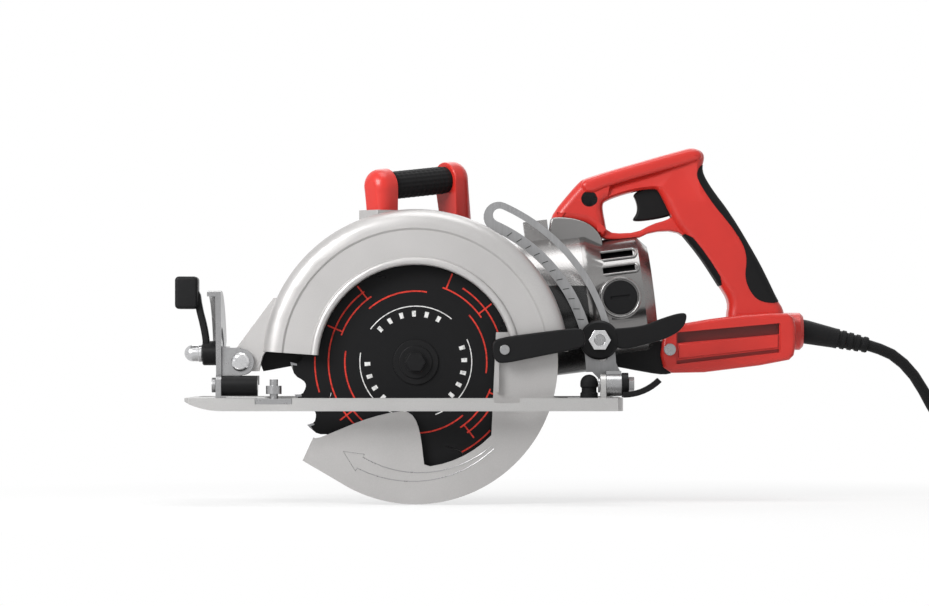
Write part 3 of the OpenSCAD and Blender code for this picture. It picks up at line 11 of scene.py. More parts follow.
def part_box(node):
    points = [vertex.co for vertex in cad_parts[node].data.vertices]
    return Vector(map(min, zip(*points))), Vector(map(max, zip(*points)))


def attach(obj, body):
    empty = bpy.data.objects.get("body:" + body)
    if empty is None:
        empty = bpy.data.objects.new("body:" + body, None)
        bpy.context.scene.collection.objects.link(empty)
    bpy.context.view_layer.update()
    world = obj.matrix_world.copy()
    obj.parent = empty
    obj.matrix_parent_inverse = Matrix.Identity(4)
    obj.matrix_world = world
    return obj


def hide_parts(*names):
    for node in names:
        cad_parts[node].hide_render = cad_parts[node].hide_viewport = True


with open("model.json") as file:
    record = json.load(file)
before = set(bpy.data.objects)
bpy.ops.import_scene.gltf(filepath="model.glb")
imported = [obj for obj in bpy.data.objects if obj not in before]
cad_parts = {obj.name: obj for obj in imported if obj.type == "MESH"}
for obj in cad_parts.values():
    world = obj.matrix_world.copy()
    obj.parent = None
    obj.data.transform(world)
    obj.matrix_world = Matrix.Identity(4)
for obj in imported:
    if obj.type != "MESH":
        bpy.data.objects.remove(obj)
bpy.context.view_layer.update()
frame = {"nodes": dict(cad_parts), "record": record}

bl_info = {
    "name": "Worm drive saw",
    "version": (1, 0, 0),
    "blender": (4, 5, 0),
    "location": "3D View > Sidebar > Saw",
    "description": "Dresses the CAD frame of a worm drive circular saw",
    "category": "Object",
}

MM = 0.001
QUARTER = math.pi / 2


def middle(node):
    """Centre of a CAD node's box."""
    low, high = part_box(node)
    return (low + high) / 2


def span(node):
    """Size of a CAD node's box in millimetres."""
    low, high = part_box(node)
    return (high - low) / MM


# Places that the frame gives
ARBOR = middle("blade")
MOTOR_Y = middle("trigger").y
CLAMP = middle("depth_nut")
STUD = middle("bevel_stud")
FLOOR_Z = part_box("cord_tie")[0].z
BODY_OF = {node: body for body, nodes in frame["record"]["behaviour"]["bodies"].items() for node in nodes}


# Sizes and colours that a user would change
def length(name, about, default, low=0.0001, high=3.0):
    return FloatProperty(name=name, description=about, default=default, min=low, max=high, unit="LENGTH", precision=4)


def colour(name, about, default):
    return FloatVectorProperty(name=name, description=about, default=default, size=3, min=0, max=1, subtype="COLOR")


class SawSizes(bpy.types.PropertyGroup):
    """Sizes of the dressed pieces."""
    edge: length("Edge", "Rounding of cast and machined edges", 0.0007)
    fine_edge: length("Fine edge", "Rounding of small steel pieces", 0.0004)
    handle_round: length("Handle rounding", "Rounding along the rear handle", 0.0068)
    seam: length("Seam", "Gap between the two handle shells", 0.0003)
    knurl: length("Knurl", "Height of the top grip's knurl", 0.0006)
    teeth: IntProperty(name="Teeth", description="Number of carbide teeth", default=24, min=12, max=60)
    tip_width: length("Tip width", "Width of a carbide tip across the blade", 0.0024)
    tick_height: length("Tick height", "Height of the depth marks on the link", 0.0002)
    cord_d: length("Lead diameter", "Diameter of the mains lead", 0.0085)
    boot_ribs: IntProperty(name="Boot ribs", description="Ribs on the strain relief", default=4, min=3, max=12)


class SawColours(bpy.types.PropertyGroup):
    """Colours of the finishes."""
    red: colour("Red", "Moulded handle", (0.60, 0.028, 0.020))
    black: colour("Black", "Moulded levers and caps", (0.007, 0.007, 0.0075))
    rubber: colour("Rubber", "Soft grips and the lead", (0.008, 0.008, 0.0085))
    cast: colour("Cast", "Blasted guard and case castings", (0.43, 0.42, 0.415))
    bright: colour("Bright", "Shoe casting", (0.42, 0.415, 0.41))
    steel: colour("Steel", "Plated pins, nuts and link", (0.33, 0.33, 0.335))
    coat: colour("Coat", "Blade coating", (0.006, 0.006, 0.0065))
    mark: colour("Mark", "Printed lines on the blade", (0.62, 0.045, 0.03))
    carbide: colour("Carbide", "Tooth tips", (0.30, 0.30, 0.31))


def sizes():
    return bpy.context.scene.saw_sizes


def colours():
    return bpy.context.scene.saw_colours


# Node trees and shader maths
class Nodes:
    """A node tree whose nodes come with their settings, values and links."""

    def __init__(self, tree):
        self.tree = tree

    def node(self, kind, settings=None, inputs=None):
        """Adds a node, sets its settings or a ramp's stops, then feeds its sockets."""
        node = self.tree.nodes.new(kind)
        for key, value in (settings or {}).items():
            if key == "stops":
                for element, (at, grey) in zip(node.color_ramp.elements, value):
                    element.position = at
                    element.color = (grey, grey, grey, 1)
            else:
                setattr(node, key, value)
        for key, value in (inputs or {}).items():
            if isinstance(key, int):
                socket = node.inputs[key]
            else:
                socket = next(s for s in node.inputs if s.name == key and s.enabled)
            self.feed(socket, value)
        return node

    def feed(self, socket, value):
        """Links a socket to a wire or another socket, or sets its value."""
        if isinstance(value, Wire):
            value = value.socket
        if isinstance(value, bpy.types.NodeSocket):
            self.tree.links.new(value, socket)
        elif socket.type == "RGBA":
            socket.default_value = tuple(value) + (1,)
        else:
            socket.default_value = value

    def math(self, operation, *terms):
        node = self.node("ShaderNodeMath", {"operation": operation}, dict(enumerate(terms)))
        return Wire(self, node.outputs[0])

    def seen(self):
        """1 for rays that show a thing itself: from the camera, mirrored or let through."""
        rays = self.node("ShaderNodeLightPath").outputs
        camera = Wire(self, rays["Is Camera Ray"])
        return camera.math("MAXIMUM", rays["Is Glossy Ray"]).math("MAXIMUM", rays["Is Transmission Ray"])


def worked(operation, reflected=False):
    """A method that works out a wire with another value, or that value with the wire."""
    if reflected:
        return lambda wire, other: wire.nodes.math(operation, other, wire)
    return lambda wire, other: wire.nodes.math(operation, wire, other)


class Wire:
    """A shader socket that takes part in sums."""
    __add__ = __radd__ = worked("ADD")
    __mul__ = __rmul__ = worked("MULTIPLY")
    __sub__, __rsub__ = worked("SUBTRACT"), worked("SUBTRACT", reflected=True)
    __truediv__, __rtruediv__ = worked("DIVIDE"), worked("DIVIDE", reflected=True)
    __pow__, __rpow__ = worked("POWER"), worked("POWER", reflected=True)
    __lt__ = worked("LESS_THAN")
    __gt__ = worked("GREATER_THAN")

    def __init__(self, nodes, socket):
        self.nodes = nodes
        self.socket = socket

    def math(self, operation, *others):
        return self.nodes.math(operation, self, *others)

    def within(self, low, high):
        """1 between low and high."""
        return (self > low) * (self < high)

    def held(self):
        """Kept between 0 and 1."""
        return self.math("MAXIMUM", 0.0).math("MINIMUM", 1.0)


class Paint(Nodes):
    """One procedural material on Object coordinates."""

    def __init__(self, name):
        self.material = bpy.data.materials.new(name)
        self.material.use_nodes = True
        super().__init__(self.material.node_tree)
        self.tree.nodes.clear()
        self.shader = self.node("ShaderNodeBsdfPrincipled")
        self.end = self.node("ShaderNodeOutputMaterial", {}, {"Surface": self.shader.outputs[0]})
        self.place = self.node("ShaderNodeTexCoord").outputs["Object"]

    def axis(self, *names):
        """Object coordinates as wires."""
        parts = self.node("ShaderNodeSeparateXYZ", {}, {0: self.place})
        return [Wire(self, parts.outputs[name]) for name in names]

    def noise(self, scale, detail=2.0, rough=0.5, stretch=(1, 1, 1)):
        """Noise of a size per metre, stretched along the axes."""
        where = self.node("ShaderNodeMapping", {}, {"Vector": self.place, "Scale": stretch})
        node = self.node("ShaderNodeTexNoise", {}, {"Vector": where.outputs[0], "Scale": scale, "Detail": detail,
                                                    "Roughness": rough})
        return Wire(self, node.outputs["Fac"])

    def cells(self, scale):
        node = self.node("ShaderNodeTexVoronoi", {}, {"Vector": self.place, "Scale": scale})
        return Wire(self, node.outputs["Distance"])

    def ramp(self, wire, *stops):
        """Grey that goes from one place and shade to another."""
        node = self.node("ShaderNodeValToRGB", {"stops": stops}, {"Fac": wire})
        return Wire(self, node.outputs["Color"])

    def mix(self, amount, first, second):
        """Two colours mixed by an amount."""
        node = self.node("ShaderNodeMix", {"data_type": "RGBA"}, {"Factor": amount, "A": first, "B": second})
        return node.outputs[2]

    def relief(self, height, strength, depth):
        """Bump of a height, over the relief made before."""
        inputs = {"Height": height, "Strength": strength, "Distance": depth}
        if self.shader.inputs["Normal"].is_linked:
            inputs["Normal"] = self.shader.inputs["Normal"].links[0].from_socket
        self.set(Normal=self.node("ShaderNodeBump", {}, inputs).outputs[0])

    def set(self, **values):
        """Feeds the shader; an underscore in a name stands for a blank."""
        for key, value in values.items():
            self.feed(self.shader.inputs[key.replace("_", " ")], value)


def shade(base, amount):
    """A colour made darker or paler by a share."""
    return tuple(min(1.0, part * amount) for part in base)


def blasted(name, base, metal, rough, grain):
    """Blasted or painted casting with fine grain, dull patches and rubbed lights."""
    p = Paint(name)
    broad = p.noise(14, 3, 0.55)
    fine = p.noise(grain, 2, 0.6)
    tone = p.mix(broad, shade(base, 0.86), shade(base, 1.08))
    speck = p.ramp(fine, (0.38, 0), (0.72, 1))
    p.set(Base_Color=p.mix(speck * 0.35, tone, shade(base, 1.22)), Metallic=metal,
          Roughness=rough + (broad - 0.5) * 0.16 - speck * 0.06)
    p.relief(fine, 0.22, 0.00018)
    p.relief(p.noise(260, 3, 0.6), 0.12, 0.0003)
    return p


def machined(name, base, rough, stretch=(1, 1, 1), grain=900):
    """Plated or machined steel with drawn lines and a few dull spots."""
    p = Paint(name)
    lines = p.noise(grain, 3, 0.6, stretch)
    spots = p.ramp(p.noise(60, 4, 0.6), (0.45, 0), (0.75, 1))
    tone = p.mix(lines, shade(base, 0.80), shade(base, 1.15))
    p.set(Base_Color=p.mix(spots * 0.3, tone, shade(base, 0.62)), Metallic=0.92,
          Roughness=rough + lines * 0.12 + spots * 0.10)
    p.relief(lines, 0.10, 0.0001)
    return p


def groove_shade(p):
    """Painted shade mask: 1 deep inside the grooves of the handle's base, and 0 elsewhere."""
    face, fade, front, back = 21.4 * MM, 4.5 * MM, 192 * MM, 273 * MM
    root, lower, upper = 193.5 * MM, 31.5 * MM, 60.3 * MM
    lower_slope, upper_slope = 0.114, 0.100
    x, y, z = p.axis("X", "Y", "Z")
    deep = ((face - (y - MOTOR_Y).math("ABSOLUTE")) / fade).held()
    along = x - root
    above = (z - along * lower_slope) > lower
    below = (z - along * upper_slope) < upper
    return deep * above * below * x.within(front, back)


def moulded(name, base, rough, grain, depth, coat=0.0, gloss=0.14, hollow=None):
    """Moulded plastic or rubber with a grained skin, faint handling marks and, where a hollow mask is given, painted
    shade in the hollows.
    """
    p = Paint(name)
    skin = p.cells(grain)
    broad = p.noise(22, 3, 0.55)
    scuff = p.ramp(p.noise(240, 4, 0.65), (0.58, 0), (0.80, 1))
    tone = p.mix(broad, shade(base, 0.88), shade(base, 1.10))
    pale = tuple(part * 0.9 + 0.012 for part in base)
    mixed = p.mix(scuff * 0.22, tone, pale)
    # Painted shade: the colour goes nearly black where the hollow mask is 1
    if hollow:
        mixed = p.mix(hollow(p) * 0.8, mixed, shade(base, 0.12))
    p.set(Base_Color=mixed, Roughness=rough + (broad - 0.5) * 0.10 + scuff * 0.12, Coat_Weight=coat,
          Specular_IOR_Level=gloss)
    p.relief(skin, 0.16, depth)
    p.relief(p.noise(60, 2, 0.5), 0.05, 0.0006)
    return p


def blade_finish():
    """Black coating with turned rings and a plain printed design of arcs and dashes."""
    c = colours()
    p = Paint("blade_coat")
    x, z = p.axis("X", "Z")
    dx, dz = x - ARBOR.x, z - ARBOR.z
    r = (dx * dx + dz * dz) ** 0.5
    turn = dz.math("ARCTAN2", dx) / math.tau + 0.5
    rings = p.node("ShaderNodeTexNoise", {"noise_dimensions": "1D"}, {"W": r, "Scale": 2600.0, "Detail": 3.0})
    rings = Wire(p, rings.outputs["Fac"])

    def phase(count, shift):
        return (turn * count + shift).math("FRACT")

    def arc(radius, width, count, share, shift):
        inside = r.within((radius - width / 2) * MM, (radius + width / 2) * MM)
        return inside * (phase(count, shift) < share)

    line, spoke_count = 1.1, 12
    spokes = (phase(spoke_count, 0.25) - 0.5).math("ABSOLUTE") * r * (math.tau / spoke_count) < line * MM / 2
    red = spokes * r.within(58 * MM, 70 * MM) * (phase(4, 0.62) < 0.40)
    for radius, *pattern in ((52, 4, 0.56, 0.10), (58, 4, 0.40, 0.62), (64, 2, 0.62, 0.30), (74, 6, 0.34, 0.05)):
        red = red + arc(radius, line, *pattern)
    white = arc(35.5, 4.2, 24, 0.30, 0.0) * (phase(3, 0.08) < 0.78) + arc(41, 0.7, 3, 0.78, 0.08)
    worn = p.ramp(p.noise(420, 3, 0.6), (0.30, 0.55), (0.55, 1))
    base = p.mix(rings, shade(c.coat, 0.7), shade(c.coat, 1.7))
    base = p.mix((red * worn).math("MINIMUM", 1.0), base, c.mark)
    base = p.mix((white * worn).math("MINIMUM", 1.0), base, (0.72, 0.72, 0.71))
    coat_r = 90.2
    bare = r > coat_r * MM
    p.set(Base_Color=p.mix(bare * 0.8, base, (0.30, 0.30, 0.30)), Metallic=bare * 0.7 + 0.1,
          Roughness=0.42 + rings * 0.16, Specular_IOR_Level=0.12)
    p.relief(rings, 0.10, 0.0001)
    return p


def motor_finish():
    """Polished upper casing, black and less metallic below a level line."""
    c = colours()
    black_line = 92 * MM
    p = blasted("motor_case", shade(c.cast, 0.72), 0.8, 0.28, 1500)
    # Black and less metallic below this height
    low = p.axis("Z")[0] < black_line
    base = p.shader.inputs["Base Color"].links[0].from_socket
    p.set(Base_Color=p.mix(low, base, c.black), Metallic=0.75 - low * 0.7)
    return p


FINISHES = {}


def make_finishes():
    c = colours()
    red = (c.red, 0.34, 2600, 0.00006, 0.1, 0.4)
    table = {
        blasted: (("cast_alloy", c.cast, 0.45, 0.40, 1900), ("guard_alloy", shade(c.cast, 0.95), 0.45, 0.40, 2300),
                  ("bell_alloy", shade(c.cast, 0.5), 0.85, 0.24, 1500), ("shoe_alloy", c.bright, 0.50, 0.36, 1700)),
        machined: (("plated_steel", c.steel, 0.22), ("link_steel", shade(c.steel, 0.92), 0.30, (1, 1, 0.06), 700),
                   ("bright_steel", shade(c.steel, 1.7), 0.12), ("carbide", c.carbide, 0.30),
                   ("lamination", (0.22, 0.22, 0.23), 0.45, (30, 1, 1), 500), ("bronze", (0.52, 0.36, 0.16), 0.35),
                   ("copper", (0.60, 0.28, 0.14), 0.32, (1, 4, 4), 400)),
        moulded: (("red_plastic", *red), ("handle_red", *red, groove_shade),
                  ("black_plastic", c.black, 0.42, 2200, 0.00009), ("soft_grip", c.rubber, 0.68, 1300, 0.00022),
                  ("cord_rubber", c.rubber, 0.55, 3000, 0.00008), ("carbon", (0.02, 0.02, 0.02), 0.6, 1800, 0.0001)),
    }
    for make, rows in table.items():
        for row in rows:
            FINISHES[row[0]] = make(*row).material
    FINISHES["motor_case"] = motor_finish().material
    FINISHES["blade_coat"] = blade_finish().material


# Places, outlines and meshes; shapes are written in millimetres, places in metres
def moved(x, y, z):
    return Matrix.Translation((x, y, z))


def turned(degrees, axis):
    return Matrix.Rotation(math.radians(degrees), 4, axis)


def side_on(x, y, z):
    """Lays a piece's own x, y and z along X, Z and -Y."""
    return moved(x, y, z) @ turned(90, "X")


def end_on(x, y, z):
    """Lays a piece's own z along X."""
    return moved(x, y, z) @ turned(90, "Y")


def polar(radius, turn):
    return radius * math.cos(turn), radius * math.sin(turn)


def circle_loop(radius, count=48):
    return [polar(radius, math.tau * i / count) for i in range(count)]


def cut_corners(points, rounds):
    """Rounds a closed outline by cutting its corners."""
    for _ in range(rounds):
        made = []
        for a, b in zip(points, points[1:] + points[:1]):
            if a != b:
                made += [tuple(Vector(a).lerp(Vector(b), share)) for share in (0.25, 0.75)]
        points = made
    return points


def placed(name, data):
    """A new object in the scene."""
    obj = bpy.data.objects.new(name, data)
    bpy.context.scene.collection.objects.link(obj)
    return obj


def from_bmesh(name, bm):
    mesh = bpy.data.meshes.new(name)
    bm.to_mesh(mesh)
    bm.free()
    return placed(name, mesh)


def edited(mesh, work):
    """Runs work on a mesh's bmesh."""
    bm = bmesh.new()
    bm.from_mesh(mesh)
    work(bm)
    bm.to_mesh(mesh)
    bm.free()


def settle(obj):
    """Turns what an object evaluates to into a plain mesh of its own."""
    shown = obj.evaluated_get(bpy.context.evaluated_depsgraph_get())
    mesh = bpy.data.meshes.new_from_object(shown)
    name = obj.name
    mesh.materials.clear()
    bpy.data.objects.remove(obj)
    mesh.name = name
    return placed(name, mesh)


def modified(obj, kind, **settings):
    """What a modifier makes of an object."""
    modifier = obj.modifiers.new(kind, kind)
    for key, value in settings.items():
        setattr(modifier, key, value)
    return settle(obj)


def merged(obj, outward=False):
    """Joins points that meet and, if asked, turns the faces outward."""
    def work(bm):
        bmesh.ops.remove_doubles(bm, verts=bm.verts, dist=1e-6)
        if outward:
            bmesh.ops.recalc_face_normals(bm, faces=bm.faces)

    edited(obj.data, work)
    return obj


def evened(obj, smooth=40):
    """Smooth shading, with sharp edges beyond an angle."""
    obj.data.polygons.foreach_set("use_smooth", [True] * len(obj.data.polygons))
    obj.data.set_sharp_from_angle(angle=math.radians(smooth))
    return modified(obj, "WEIGHTED_NORMAL", keep_sharp=True)


def finish(obj, body, look, *nodes):
    """Gives a piece its finish, body and slot, and lets it stand for CAD nodes."""
    obj.data.materials.clear()
    obj.data.materials.append(FINISHES[look])
    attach(obj, body)
    if nodes:
        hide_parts(*nodes)
    return obj


def soften(look, width, *nodes, segments=2):
    """CAD nodes with their flat faces joined and their edges rounded; gives the last."""
    flat, sharp = math.radians(1.5), math.radians(32)

    def work(bm):
        bmesh.ops.remove_doubles(bm, verts=bm.verts, dist=2e-6)
        bmesh.ops.dissolve_limit(bm, angle_limit=flat, verts=bm.verts, edges=bm.edges)

    for node in nodes:
        mesh = frame["nodes"][node].data.copy()
        mesh.name = node + "_piece"
        mesh.materials.clear()
        edited(mesh, work)
        if mesh.has_custom_normals:
            mesh.attributes.remove(mesh.attributes["custom_normal"])
        obj = modified(placed(mesh.name, mesh), "BEVEL", width=width, segments=segments, limit_method="ANGLE",
                       angle_limit=sharp, use_clamp_overlap=True)
        piece = finish(evened(obj), BODY_OF[node], look, node)
    return piece


def dress(look, *nodes):
    """CAD nodes that stay as they are, in a finish."""
    for node in nodes:
        obj = frame["nodes"][node]
        if not obj.material_slots:
            obj.data.materials.append(None)
        for item in obj.material_slots:
            item.material = FINISHES[look]


def poly_curve(name, dimensions, lines, radius, steps, closed=True):
    """Curve data along lines of points, with a round section."""
    data = bpy.data.curves.new(name, "CURVE")
    data.dimensions = dimensions
    data.bevel_depth = radius
    data.bevel_resolution = steps
    for line in lines:
        spline = data.splines.new("POLY")
        spline.points.add(len(line) - 1)
        for point, place in zip(spline.points, line):
            point.co = Vector(place).to_3d().to_4d()
        spline.use_cyclic_u = closed
    return data


def slab(name, loops, half, rounding, place, steps=3, grow=0.0):
    """A plate between closed outlines, with rounded edges, laid by a matrix."""
    lines = [[(x * MM, y * MM) for x, y in loop] for loop in loops]
    data = poly_curve(name, "2D", lines, rounding * MM, steps)
    data.fill_mode = "BOTH"
    data.extrude = (half - rounding) * MM
    data.offset = (grow - rounding) * MM
    obj = settle(placed(name, data))
    obj.data.transform(place)
    return merged(obj, outward=True)


def lofted(name, rings, place=Matrix(), capped=True, triangles=False):
    """A skin over closed rings of points, laid by a matrix."""
    bm = bmesh.new()
    rows = [[bm.verts.new(Vector(point) * MM) for point in ring] for ring in rings]
    for near, far in zip(rows, rows[1:]):
        for i in range(max(len(near), len(far))):
            j = i + 1
            face = (near[i % len(near)], near[j % len(near)], far[j % len(far)], far[i % len(far)])
            bm.faces.new(dict.fromkeys(face))
    if capped:
        bm.faces.new(rows[0])
        bm.faces.new(rows[-1][::-1])
    bm.transform(place)
    if triangles:
        bmesh.ops.triangulate(bm, faces=bm.faces)
    bmesh.ops.recalc_face_normals(bm, faces=bm.faces)
    return from_bmesh(name, bm)


def spun(name, profile, place, sides=48):
    """A turned piece: radius and height pairs about the matrix's Z axis."""
    rings = [[(x, y, height) for x, y in circle_loop(radius, sides if radius else 1)] for radius, height in profile]
    return lofted(name, rings, place, capped=False)


def block(name, low, high, place=Matrix()):
    """A box between two corners."""
    (x, y, z), (u, v, w) = low, high
    return lofted(name, [[(x, y, h), (u, y, h), (u, v, h), (x, v, h)] for h in (z, w)], place)


def combine(obj, operation, *others):
    """Joins, cuts or crosses one solid by others, which go."""
    for other in others:
        obj = modified(obj, "BOOLEAN", operation=operation, solver="EXACT", object=other)
        bpy.data.objects.remove(other)
    return obj


def joined(name, *objs):
    """Several loose solids as one mesh."""
    bm = bmesh.new()
    for obj in objs:
        bm.from_mesh(obj.data)
        bpy.data.objects.remove(obj)
    return from_bmesh(name, bm)


def fanned(name, part, look, count, centre, axis, first, step):
    """Copies of a part by Geometry Nodes, each turned one step more about an axis; the part goes."""
    tree = Nodes(bpy.data.node_groups.new(name + "_tree", "GeometryNodeTree"))
    sockets = tree.tree.interface
    sockets.new_socket("Geometry", in_out="OUTPUT", socket_type="NodeSocketGeometry")
    asked = {"Part": ("Object", part), "Count": ("Int", count), "Centre": ("Vector", centre),
             "Axis": ("Vector", axis), "First": ("Float", first), "Step": ("Float", step)}
    keys = {key: sockets.new_socket(key, in_out="INPUT", socket_type="NodeSocket" + kind).identifier
            for key, (kind, _) in asked.items()}
    given = tree.node("NodeGroupInput").outputs
    points = tree.node("GeometryNodePoints", {}, {"Count": given["Count"], "Position": given["Centre"]})
    index = tree.node("GeometryNodeInputIndex").outputs[0]
    angle = tree.node("ShaderNodeMath", {"operation": "MULTIPLY_ADD"}, {0: index, 1: given["Step"], 2: given["First"]})
    spin = tree.node("FunctionNodeAxisAngleToRotation", {}, {"Axis": given["Axis"], "Angle": angle.outputs[0]})
    info = tree.node("GeometryNodeObjectInfo", {}, {"Object": given["Part"]})
    copies = tree.node("GeometryNodeInstanceOnPoints", {}, {
        "Points": points.outputs[0], "Instance": info.outputs["Geometry"], "Rotation": spin.outputs[0]})
    real = tree.node("GeometryNodeRealizeInstances", {}, {0: copies.outputs[0]})
    coat = tree.node("GeometryNodeSetMaterial", {}, {"Geometry": real.outputs[0], "Material": FINISHES[look]})
    tree.node("NodeGroupOutput", {}, {0: coat.outputs[0]})
    obj = placed(name, bpy.data.meshes.new(name))
    modifier = obj.modifiers.new("copies", "NODES")
    modifier.node_group = tree.tree
    for key, (_, value) in asked.items():
        modifier[keys[key]] = value
    obj = merged(settle(obj))
    bpy.data.objects.remove(part)
    return obj


# Guards
SKIRT = [(-114, 28.4), (-114.5, 46), (-112, 51), (-100, 57), (-66, 62), (-66, 37), (-78, 35), (-91, 32.6), (-108, 29.4)]
SKIRT_Y = -60 * MM
LIFT_BAR = [(-9, -6), (-9, 6), (-3, 9.5), (30, 8.6), (56, 7.6), (59, 4), (59, -4), (56, -7.6), (20, -9), (-4, -10)]


def arrow_lines():
    """Plain rotation arrow, a thin raised outline on the lower guard."""
    middle_r, half, barb, taper, steps = 84.0, 4.5, 2.5, 3.2, 12
    tip, neck, tail = 231.0, 241.0, 312.0
    outer, inner = middle_r + half, middle_r - half
    shares = [i / steps for i in range(steps + 1)]
    line = [(middle_r, tip), (outer + barb, neck), (outer, neck)]
    line += [(outer - taper * share, neck + (tail - neck) * share) for share in shares[1:]]
    line += [(inner + taper * share, neck + (tail - neck) * share) for share in shares[::-1]]
    line += [(inner - barb, neck)]
    points = []
    for radius, degrees in line:
        x, z = polar(radius, math.radians(degrees))
        points.append(ARBOR + Vector((x, -9, z)) * MM)
    data = poly_curve("guard_arrow", "3D", [points], 0.32 * MM, 2)
    return evened(merged(settle(placed("guard_arrow", data))))


def lift_lever():
    """Bar with a round root, a straight lower edge and a blunt tip, on a post."""
    low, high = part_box("lift_lever")
    x, z = 65 * MM, ARBOR.z + 9 * MM
    lean = moved(x, low.y + 3 * MM, z) @ turned(-9, "Y") @ turned(90, "X")
    bar = slab("bar", [cut_corners(LIFT_BAR, 2)], 3, 1.4, lean)
    post = spun("post", [(0, 0), (3.2, 0), (3.2, -4), (0, -4)], side_on(x, high.y - 4 * MM, z), 24)
    return evened(joined("lift_lever_piece", bar, post))


class SAW_OT_guards(bpy.types.Operator):
    """Upper and lower guard, arrow, lift lever and rivet"""
    bl_idname = "saw.guards"
    bl_label = "Guards"

    def execute(self, context):
        s = sizes()
        soften("cast_alloy", 1.1 * MM, "upper_guard", segments=3)
        # The skirt is the guard's back wall; its black finish is painted shade for the wall lying in shadow under the
        # guard
        skirt = slab("guard_skirt", [cut_corners(SKIRT, 1)], 1.5, 0.6, side_on(0, SKIRT_Y, 0))
        finish(evened(skirt, 32), "saw", "black_plastic")
        soften("guard_alloy", s.edge, "lower_guard")
        finish(arrow_lines(), "guard", "plated_steel")
        finish(lift_lever(), "guard", "black_plastic", "lift_lever")
        soften("plated_steel", s.fine_edge, "lever_rivets")
        dress("plated_steel", "guard_spring", "guard_retainer")
        return {"FINISHED"}


# Blade: a tooth as radius and share of its pitch, a tip as radius and degrees
TOOTH = [(92.0, 0.0), (91.3, 0.13), (89.6, 0.36), (87.6, 0.48), (84.9, 0.57), (83.0, 0.66), (82.3, 0.75), (82.6, 0.84),
         (83.8, 0.93), (85.6, 1.02), (87.6, 1.045)]
TIP = [(91.98, 0.0), (91.5, 1.25), (87.2, 1.75), (87.2, 0.82)]
BORE_R = 7.95


def blade_outline(count):
    """Teeth with a hooked face, a sloping back and a round gullet, turning clockwise from the front."""
    return [polar(radius, math.tau * (i + share) / count) for i in range(count) for radius, share in TOOTH]


def relief_slot(angle):
    """Thin curved expansion slot."""
    points = []
    for side in (1, -1):
        for i in range(9)[::side]:
            turn = math.radians(angle + 7 * math.sin(math.pi * i / 10))
            x, y = polar(66 + 14.5 * i / 8, turn)
            wide_x, wide_y = polar(side * 0.3, turn + QUARTER)
            points.append((x + wide_x, y + wide_y))
    return points


def tip_mesh(half):
    """One brazed tip at the first tooth, wider at its outer end."""
    rings = []
    for side in (-1, 1):
        ring = []
        for radius, degrees in TIP:
            x, z = polar(radius, math.radians(degrees))
            ring.append((x, side * half * (1 if radius > 90 else 0.82), z))
        rings.append(ring)
    return lofted("tip", rings)


class SAW_OT_blade(bpy.types.Operator):
    """Blade plate, carbide tips, flanges, bolt and the arbor"""
    bl_idname = "saw.blade"
    bl_label = "Blade"

    def execute(self, context):
        s = sizes()
        loops = [blade_outline(s.teeth), circle_loop(BORE_R)] + [relief_slot(angle) for angle in (20, 110, 200, 290)]
        plate = slab("blade_piece", loops, span("blade").y / 2, 0.08, side_on(*ARBOR), 0)
        finish(evened(plate, 30), "blade_set", "blade_coat", "blade")
        tips = fanned("blade_tips", tip_mesh(s.tip_width / MM / 2), "carbide", s.teeth, ARBOR, (0.0, -1.0, 0.0), 0.0,
                      math.tau / s.teeth)
        finish(evened(tips, 30), "blade_set", "carbide")
        soften("black_plastic", s.fine_edge, "outer_flange", "blade_bolt")
        soften("plated_steel", s.fine_edge, "inner_flange")
        dress("plated_steel", "arbor_shaft")
        dress("bronze", "worm_wheel")
        return {"FINISHED"}


# Shoe and its hinges
def slotted_pin():
    """Pin of the front hinge, with a slotted screw head on the blade side."""
    low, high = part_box("depth_pin")
    x, _, z = middle("depth_pin")
    long, head = span("depth_pin").y, span("depth_pin").x / 2
    profile = [(0, 0), (4.6, 0), (5, 0.4), (5, 1), (3.9, 1.1), (3.9, long - 2.9), (head, long - 2.9),
               (head, long - 1.6), (head - 1.2, long - 0.4), (head - 2.8, long), (0, long)]
    pin = spun("depth_pin_piece", profile, side_on(x, high.y, z), 40)
    slot = block("slot", (-9, -1.2, -0.9), (9, 1.2, 0.9), moved(x, low.y, z) @ turned(35, "Y"))
    return evened(combine(pin, "DIFFERENCE", slot), 35)


def dome(radius, steps=10):
    """Quarter round from an axis outwards, as radius and height pairs."""
    turns = [QUARTER * i / steps for i in range(steps + 1)]
    return [(radius * math.sin(turn), radius * (1 - math.cos(turn))) for turn in turns]


def bumper_piece():
    """Rubber stop with a waist and a round head."""
    x, y, _ = middle("bumper")
    profile = [(radius, span("bumper").z - depth) for radius, depth in dome(6.5)]
    profile += [(6.5, 8.2), (5.5, 7.0), (5.5, 4.4), (6.5, 3.2), (6.5, 0), (0, 0)]
    return evened(spun("bumper_piece", profile, moved(x, y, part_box("bumper")[0].z), 32), 35)


def stud_piece():
    """Stud with a flanged dome nut."""
    long = span("bevel_stud").x
    profile = dome(6.1) + [(6.1, 10.4), (6.5, 10.8), (6.5, 12.8), (6.2, 13.1), (4, 13.1), (4, long), (0, long)]
    return evened(spun("bevel_stud_piece", profile, end_on(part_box("bevel_stud")[0].x, STUD.y, STUD.z), 40), 35)


def link_marks(height):
    """Raised depth marks across the link's inner strip."""
    high, half_long, half_wide, radius, lean = height / MM, 2.3, 0.275, 119.6, 24
    count, first, step = 11, math.radians(-20), math.radians(-4)
    tick = block("tick", (-half_long, -high, -half_wide), (half_long, high, half_wide),
                 moved(radius * MM, 0, 0) @ turned(lean, "Y"))
    centre = Vector((9 * MM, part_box("depth_link")[0].y, ARBOR.z - 9.5 * MM))
    return fanned("link_marks", tick, "black_plastic", count, centre, (0.0, 1.0, 0.0), first, step)


